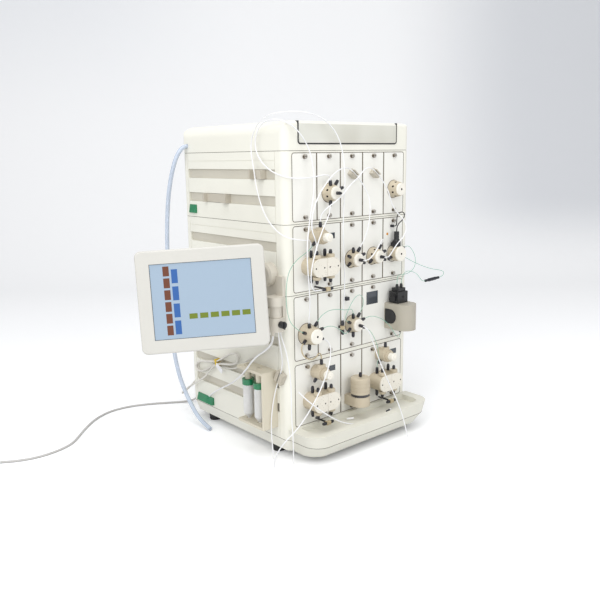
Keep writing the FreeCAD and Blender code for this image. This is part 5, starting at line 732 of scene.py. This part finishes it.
cord(
    "waste_hose_run", ["waste_hose"], HOSE_R, HOSE,
    [
        (-222, 207, 835.5), (-246, 207, 835.5), (-264, 210, 816), (-275, 220, 782), (-281, 238, 725),
        (-284, 250, 665), (-286, 257, 600), (-287, 261, 530), (-287, 264, 450), (-288, 265, 370),
        (-287, 262, 290), (-286, 256, 220), (-283, 240, 150), (-280, 214, 98), (-278, 178, 55),
        (-277, 144, 27), (-276, 110, 13), (-276, 81, 7),
    ],
)

# Mains lead: along the bench, five turns of coil outside the view, and the wall plug

COIL_MIDDLE = (-915.0, 336.0)
COIL_R = 35.0
COIL_TURNS = 5
TURN_POINTS = 14
BENCH_GAP = 0.1


def mains_coil():
    """Turns that swing out and in by one diameter, and climb by one diameter every two turns."""
    points = []
    steps = COIL_TURNS * TURN_POINTS
    for step in range(steps + 1):
        turn = step / TURN_POINTS
        angle = -pi / 2 - 2 * pi * turn
        side = MAINS_R if int(turn) % 2 == 0 else -MAINS_R
        level = MAINS_R + BENCH_GAP + MAINS_R * turn
        radius = COIL_R + side * cos(2 * pi * (turn % 1))
        points.append((COIL_MIDDLE[0] + radius * cos(angle), COIL_MIDDLE[1] + radius * sin(angle), level))
    return points


cord(
    "mains_lead", ["mains_cable", "mains_cable_coil"], MAINS_R, GREY_CABLE,
    [
        (-150, 266, 193.25), (-150, 287, 193.25), (-150, 313, 173), (-149, 326, 132), (-147, 327, 84),
        (-150, 319, 38), (-172, 328, 7), (-214, 355, 3.3), (-256, 383, 3.3), (-300, 409, 3.3),
        (-357, 433, 3.3), (-426, 436, 3.3), (-487, 406, 3.3), (-535, 364, 3.3), (-582, 312, 3.3),
        (-623, 266, 3.3), (-672, 244, 3.3), (-729, 237, 3.3), (-780, 250, 3.3), (-822, 276, 3.3),
        (-860, 293, 3.3), (-897, 298.5, 3.3),
    ]
    + mains_coil()[1:]
    + [(-952, 296.5, 17), (-970, 295, 17), (-985, 295, 17)],
)

# Display cable: down from the bracket, folded in a tied hank on the side, then to the rear

HANK_MIDDLE = (-238.4, 80.0, 207.0)
HANK_TURN = radians(-19.2)
HANK_HALF = 120.0
HANK_LOBE = 18.0
HANK_WAIST = 0.17
HANK_BULGE = 1.75
HANK_CURVE = 1.5
HANK_TURNS = 2
HANK_PITCH = 5.6


def hank_turns():
    """Long flat loops that narrow at the tie, each one a diameter further out."""
    points = []
    steps = HANK_TURNS * 2 * TURN_POINTS
    for step in range(1, steps):
        turn = step / (2 * TURN_POINTS)
        angle = -pi / 2 + 2 * pi * turn
        along = HANK_HALF * cos(angle)
        across = HANK_LOBE * sin(angle) * (HANK_WAIST + HANK_BULGE * abs(cos(angle)) ** HANK_CURVE)
        y = HANK_MIDDLE[1] + along * cos(HANK_TURN) - across * sin(HANK_TURN)
        z = HANK_MIDDLE[2] + along * sin(HANK_TURN) + across * cos(HANK_TURN)
        points.append((HANK_MIDDLE[0] - HANK_PITCH * turn, y, z))
    return points


cord(
    "display_lead", ["display_cable", "display_cable_coil"], DISPLAY_CABLE_R, PALE_CABLE,
    [
        (-247, -197, 352), (-247, -197, 336), (-247, -186, 312), (-247, -162, 290), (-247, -128, 271),
        (-247, -92, 256), (-245, -56, 234), (-243, -20, 213), (-240, 20, 200), (-238.6, 52, 200),
    ]
    + hank_turns()
    + [
        (-248, 84, 200), (-248, 112, 178), (-248, 138, 152), (-249, 172, 130), (-250, 212, 108),
        (-252, 250, 84), (-250, 282, 62), (-232, 300, 54), (-210, 296, 70), (-197, 278, 96), (-195, 260, 110),
        (-195, 244, 110),
    ],
)

cord(
    "white_side_tube", ["side_lines"], SIDE_TUBE_R, WHITE_TUBE,
    [
        (-275, -229, 352), (-275, -229, 341), (-284, -227, 325), (-293, -214, 311), (-296, -192, 297),
        (-297, -165, 274), (-296, -138, 246), (-291, -108, 222), (-282, -76, 202), (-273, -36, 178),
        (-264, 8, 156), (-256, 50, 136), (-250, 90, 114), (-245, 118, 98), (-239.5, 136, 87),
    ],
)

# White tubes between the valves, the pumps and the bench: length, end and route of each
FLOW_TUBES = [
    (1203, "object", [
        (-48, -251, 356.1), (-48, -251, 371.1), (-51, -258, 400), (-53, -264, 440), (-55, -267, 490),
        (-58, -267, 545), (-59, -265, 600), (-57, -264, 650), (-53, -265, 705), (-53, -266, 760),
        (-58, -264, 808), (-70, -262, 845), (-94, -260, 876), (-128, -256, 897), (-165, -250, 907),
        (-200, -238, 910), (-226, -216, 908), (-241, -188, 903), (-247, -158, 889), (-250, -136, 864),
        (-252, -126, 832), (-254, -132, 800), (-256, -142, 768), (-255, -148, 730), (-252, -158, 690),
        (-253, -180, 655), (-254, -208, 630), (-250, -232, 613), (-240, -252, 602), (-222, -266, 597),
        (-200, -272, 594), (-181, -266, 592), (-166, -255, 589), (-160.5, -251, 575.1),
        (-160.5, -251, 560.1),
    ]),
    (976, "object", [
        (-96.6, -256.6, 736.9), (-102, -261.6, 750), (-118, -263, 755), (-145, -261, 751),
        (-185, -258, 747), (-222, -252, 748), (-240, -234, 754), (-247, -205, 764), (-251, -175, 782),
        (-252, -150, 808), (-251, -142, 840), (-249, -152, 868), (-247, -175, 886), (-244, -208, 892),
        (-236, -233, 888), (-215, -249, 876), (-190, -254, 852), (-168, -256, 820), (-157, -258, 780),
        (-155, -260, 740), (-162, -264, 700), (-178, -270, 655), (-194, -278, 612), (-204, -285, 568),
        (-206, -289, 522), (-202, -289, 478), (-195, -284, 435), (-190, -276, 405), (-187.3, -269.3, 386.2),
        (-181.9, -264.3, 373.1),
    ]),
    (561, "object", [
        (-160.5, -273, 560.6), (-160.5, -273, 576), (-170, -279, 594), (-186, -284, 616), (-184, -281, 645),
        (-170, -277, 680), (-145, -273, 714), (-110, -269, 745), (-74, -264, 766), (-38, -257, 772),
        (-13.5, -253, 762.6), (9.5, -253, 743.4), (26, -253, 726), (40, -257, 704), (46, -262, 680),
        (42, -266, 640), (33, -267, 604),
        (24, -265, 582), (18, -261.6, 566.5), (12.6, -256.6, 553.4),
    ]),
    (605, "object", [
        (-136.5, -261, 633.1), (-136.5, -261, 651), (-124, -268, 668), (-94, -275, 686), (-66, -275, 704),
        (-36, -270, 727), (-4, -267, 744), (20, -262, 762), (46, -257, 771), (70.5, -253, 762.6),
        (93.5, -253, 743.4), (110, -253, 727), (128, -255, 702), (138, -258, 666), (154, -266, 640),
        (171, -273, 624), (178, -278, 606), (172, -283, 587), (156, -285, 571), (134, -288, 560),
        (112, -293, 546), (94, -298, 534), (84, -295.6, 523), (84, -280.6, 523),
    ]),
    (296, "object", [
        (-96.6, -256.6, 676.1), (-102, -261.6, 663), (-118, -270, 645), (-146, -284, 624),
        (-172, -293, 592), (-194, -299, 552), (-206, -301, 514), (-204, -299, 484), (-190, -292, 466),
        (-167.6, -286, 463), (-152.6, -286, 463),
    ]),
    (152, "object", [
        (0, -280.6, 523), (0, -295.6, 523), (16, -301, 534), (42, -295, 553), (68, -283, 567),
        (88, -271, 573), (102, -261.6, 566.5), (96.6, -256.6, 553.4),
    ]),
    (373, "bare", [
        (0, -280.6, 339.5), (0, -295.6, 339.5), (10, -300, 320), (21, -301, 294), (35, -303, 258),
        (55, -308, 210), (70, -322, 162), (83, -338, 118), (93, -347, 80), (101, -354, 40), (106, -361, 5),
    ]),
    (415, "bare", [
        (-134.4, -264.3, 325.6), (-121.3, -269.3, 320.2), (-120, -281, 300), (-132, -291, 272),
        (-148, -297, 246), (-168, -300, 214), (-194, -302, 180), (-230, -304, 142), (-264, -303, 113),
        (-292, -296, 92), (-306, -283, 66), (-304, -264, 36), (-292, -246, 8),
    ]),
    (364, "bare", [
        (-252, -232, 362), (-252, -232, 351), (-252, -244, 330), (-251, -255, 304), (-249, -261, 268),
        (-244, -261, 228), (-241.5, -259, 184), (-241.5, -258, 140), (-242, -262, 98), (-245, -268, 58),
        (-247, -270, 28), (-245, -266, 5),
    ]),
    (391, "bare", [
        (-262, -236, 362), (-262, -236, 350), (-259, -240, 318), (-251, -237, 284), (-245, -226, 255),
        (-245, -205, 209), (-249, -198, 180), (-257, -198, 146), (-262, -198, 112), (-264, -200, 76),
        (-268, -208, 42), (-279, -226, 18), (-292, -246, 2.4),
    ]),
    (300, "bare", [
        (-252, -300, 214), (-243, -312, 199), (-222, -319, 178), (-192, -323, 152), (-156, -324, 125),
        (-118, -322, 102), (-80, -318, 86), (-40, -313, 75), (-4, -310, 73.8),
    ]),
]

for index, (length, far_end, points) in enumerate(FLOW_TUBES, 1):
    cord(f"flow_tube_{index}", ["flow_lines"], TUBE_R, WHITE_TUBE, points)

cord(
    "tan_loop", ["flow_lines"], TUBE_R, PEEK,
    [
        (-201.6, -264.3, 325.6), (-214.7, -269.3, 320.2), (-214, -273, 299), (-200, -275, 285),
        (-178, -272, 278), (-159, -267, 281), (-146, -262, 289), (-136.5, -261, 281.1),
        (-136.5, -261, 266.1),
    ],
)

# Thin capillaries: length and route of each
CAPILLARIES = [
    (292, [
        (-156.4, -255, 577.1), (-167, -255, 566.5), (-186, -257, 558), (-212, -257, 546), (-236, -255, 524),
        (-249, -257, 492), (-254, -259, 455), (-251, -260, 413), (-241, -261, 382), (-214.7, -269.3, 358.8),
        (-201.6, -264.3, 353.4),
    ]),
    (167, [
        (-154.1, -264.3, 373.1), (-148.7, -269.3, 386.2), (-134, -271, 396), (-112, -270, 401),
        (-80, -268, 398), (-52, -267, 391), (-30, -265, 391), (-18, -261.6, 383), (-12.6, -256.6, 369.9),
    ]),
    (193, [
        (-30.4, -256.6, 352.1), (-43.5, -261.6, 357.5), (-54, -268, 372), (-48, -273, 391),
        (-32, -270, 409), (-8, -261, 421), (15, -255, 424), (30, -253, 412), (28, -256, 397),
        (18, -261.6, 383), (12.6, -256.6, 369.9),
    ]),
    (192, [
        (30.4, -256.6, 352.1), (43.5, -261.6, 357.5), (60, -270, 357), (84, -282, 345), (106, -289, 322),
        (124, -289, 297), (143, -284, 283), (160, -275, 279), (168, -270, 280.4), (168, -270, 295.4),
    ]),
    (159, [
        (30.4, -256.6, 326.9), (43.5, -261.6, 321.5), (55, -270, 301), (67, -274, 272), (80, -268, 246),
        (90, -259, 224), (91.5, -251, 208.1), (91.5, -251, 193.1),
    ]),
    (179, [
        (199.5, -251.5, 536), (213.4, -251.5, 541.8), (224, -257, 536), (230, -268, 516), (225, -277, 494),
        (214, -279, 475), (197, -271, 462), (178, -261, 460), (163, -262, 459), (159, -264, 447.1),
        (159, -264, 432.1),
    ]),
    (123, [
        (177, -264, 432.1), (177, -264, 447.1), (182, -272, 470), (199, -281, 472), (222, -288, 459),
        (237, -291.8, 436.1), (250, -293, 437),
    ]),
    (180, [
        (199.5, -251.5, 510), (213.4, -251.5, 504.2), (228, -261, 494), (256, -279, 478), (288, -291, 467),
        (316, -297, 462), (332, -300, 453), (319, -299.1, 441.9), (306, -298, 441),
    ]),
    (118, [
        (-134.4, -264.3, 353.4), (-121.3, -269.3, 358.8), (-100, -273, 355), (-80, -274, 343),
        (-62, -269, 329), (-43.5, -261.6, 321.5), (-30.4, -256.6, 326.9),
    ]),
]

for index, (length, points) in enumerate(CAPILLARIES, 1):
    cord(f"capillary_{index}", ["capillaries"], CAPILLARY_R, CAPILLARY, points)

cord(
    "electrode_lead", ["electrode_cable"], ELECTRODE_CABLE_R, BLACK_CABLE,
    [
        (168, -251.5, 586), (168, -251.5, 597), (175, -253, 609), (189, -254, 617), (199, -254, 628),
        (194, -255, 640), (178, -254, 641), (166, -255, 632), (160, -258, 618), (160, -259, 602),
        (160, -246, 602),
    ],
)

# Floor, backdrop and light

STAGE_BOUNCE = (0.80, 0.805, 0.81)
STAGE_WHITE = (1.10, 1.11, 1.13)
# Painted shade on the backdrop: greyer far up on the right and high up on the left.
STAGE_RIGHT_SHADE = (0.82, 0.84, 0.88)
STAGE_TOP_SHADE = (0.97, 0.99, 1.03)
CAMERA_SIDE = Vector((cos(CAMERA_YAW), -sin(CAMERA_YAW), 0))


def ramp_along(tree, position, direction, low, high):
    """Smooth factor that grows from 0 to 1 along a direction, between two distances in metres."""
    along = node(tree, "ShaderNodeVectorMath", operation="DOT_PRODUCT")
    along.inputs[1].default_value = direction
    tree.links.new(position, along.inputs[0])
    return ramp(tree, along.outputs["Value"], low, high, interpolation_type="SMOOTHSTEP")


def maths(tree, operation, first, second):
    made = node(tree, "ShaderNodeMath", operation=operation)
    tree.links.new(first, made.inputs[0])
    tree.links.new(second, made.inputs[1])
    return made.outputs["Value"]


def stage_material():
    """Pale floor and backdrop with painted shade, greyer far up on the right and high up on the left;
    brighter to the camera than as a light.
    """
    material = bpy.data.materials.new("studio_floor")
    material.use_nodes = True
    tree = material.node_tree
    tree.nodes.remove(tree.nodes["Principled BSDF"])
    place = node(tree, "ShaderNodeNewGeometry").outputs["Position"]
    up = (0, 0, 1)
    rise = ramp_along(tree, place, up, 0.02, 0.5)
    # Painted shade: the backdrop turns greyer far up on the right and high up on the left.
    right_shade = maths(tree, "MULTIPLY", ramp_along(tree, place, CAMERA_SIDE, 0.65, 1.9), rise)
    high = ramp_along(tree, place, up, 0.9, 2.6)
    top_shade = maths(tree, "MULTIPLY", high, ramp_along(tree, place, -CAMERA_SIDE, 0.2, 1.8))
    shown = colour_mix(tree, right_shade, STAGE_WHITE, STAGE_RIGHT_SHADE)
    shown = colour_mix(tree, top_shade, shown, STAGE_TOP_SHADE)
    path = node(tree, "ShaderNodeLightPath")
    seen = path.outputs["Is Camera Ray"]
    for kind in ("Is Glossy Ray", "Is Transmission Ray"):
        seen = maths(tree, "MAXIMUM", seen, path.outputs[kind])
    shader = node(tree, "ShaderNodeBsdfDiffuse")
    tree.links.new(colour_mix(tree, seen, STAGE_BOUNCE, shown), shader.inputs["Color"])
    tree.links.new(shader.outputs["BSDF"], tree.nodes["Material Output"].inputs["Surface"])
    return material


# Stage, in metres from the origin along the camera's level direction
STAGE_NEAR = -6.0
BEND_START = 2.2
BEND_RADIUS = 1.6
BEND_STEPS = 16
STAGE_HIGH = 5.0
STAGE_HALF_WIDTH = 7.0


def add_stage():
    """Floor that curves up into a backdrop behind the object, seen from the camera."""
    ahead = Vector((sin(CAMERA_YAW), cos(CAMERA_YAW), 0))
    profile = [(STAGE_NEAR, 0.0), (BEND_START, 0.0)]
    for step in range(1, BEND_STEPS + 1):
        angle = radians(90 * step / BEND_STEPS)
        profile.append((BEND_START + BEND_RADIUS * sin(angle), BEND_RADIUS * (1 - cos(angle))))
    profile.append((BEND_START + BEND_RADIUS, STAGE_HIGH))
    vertices = []
    faces = []
    for depth, height in profile:
        for across in (-STAGE_HALF_WIDTH, STAGE_HALF_WIDTH):
            place = ahead * depth + CAMERA_SIDE * across
            vertices.append((place.x, place.y, height))
    for row in range(len(profile) - 1):
        faces.append((2 * row, 2 * row + 1, 2 * row + 3, 2 * row + 2))
    mesh = bpy.data.meshes.new("stage")
    mesh.from_pydata(vertices, [], faces)
    mesh.materials.append(stage_material())
    for face in mesh.polygons:
        face.use_smooth = True
    stage = bpy.data.objects.new("stage", mesh)
    bpy.context.scene.collection.objects.link(stage)


# Area lights: place and target in metres, size in metres, power in watts
LIGHTS = {
    "key": ((-3.2, -1.2, 2.3), (-0.3, 0.0, 0.3), 2.2, 55),
    "fill": ((0.3, -3.0, 1.6), (0, 0, 0.3), 2.0, 24),
    "top": ((-0.6, -0.6, 3.0), (-0.3, -0.2, 0.5), 2.0, 30),
}
WORLD_GREY = 0.99
WORLD_STRENGTH = 0.62


def add_light():
    world = bpy.data.worlds.new("studio")
    world.use_nodes = True
    back = world.node_tree.nodes["Background"]
    back.inputs["Color"].default_value = (WORLD_GREY, WORLD_GREY, WORLD_GREY, 1)
    back.inputs["Strength"].default_value = WORLD_STRENGTH
    bpy.context.scene.world = world
    for name, (place, target, size, power) in LIGHTS.items():
        data = bpy.data.lights.new(name, "AREA")
        data.size = size
        data.energy = power
        light = bpy.data.objects.new(name, data)
        light.location = place
        light.rotation_euler = (Vector(target) - Vector(place)).to_track_quat("-Z", "Y").to_euler()
        bpy.context.scene.collection.objects.link(light)


add_stage()
add_light()
bpy.context.scene.view_settings.view_transform = "Standard"
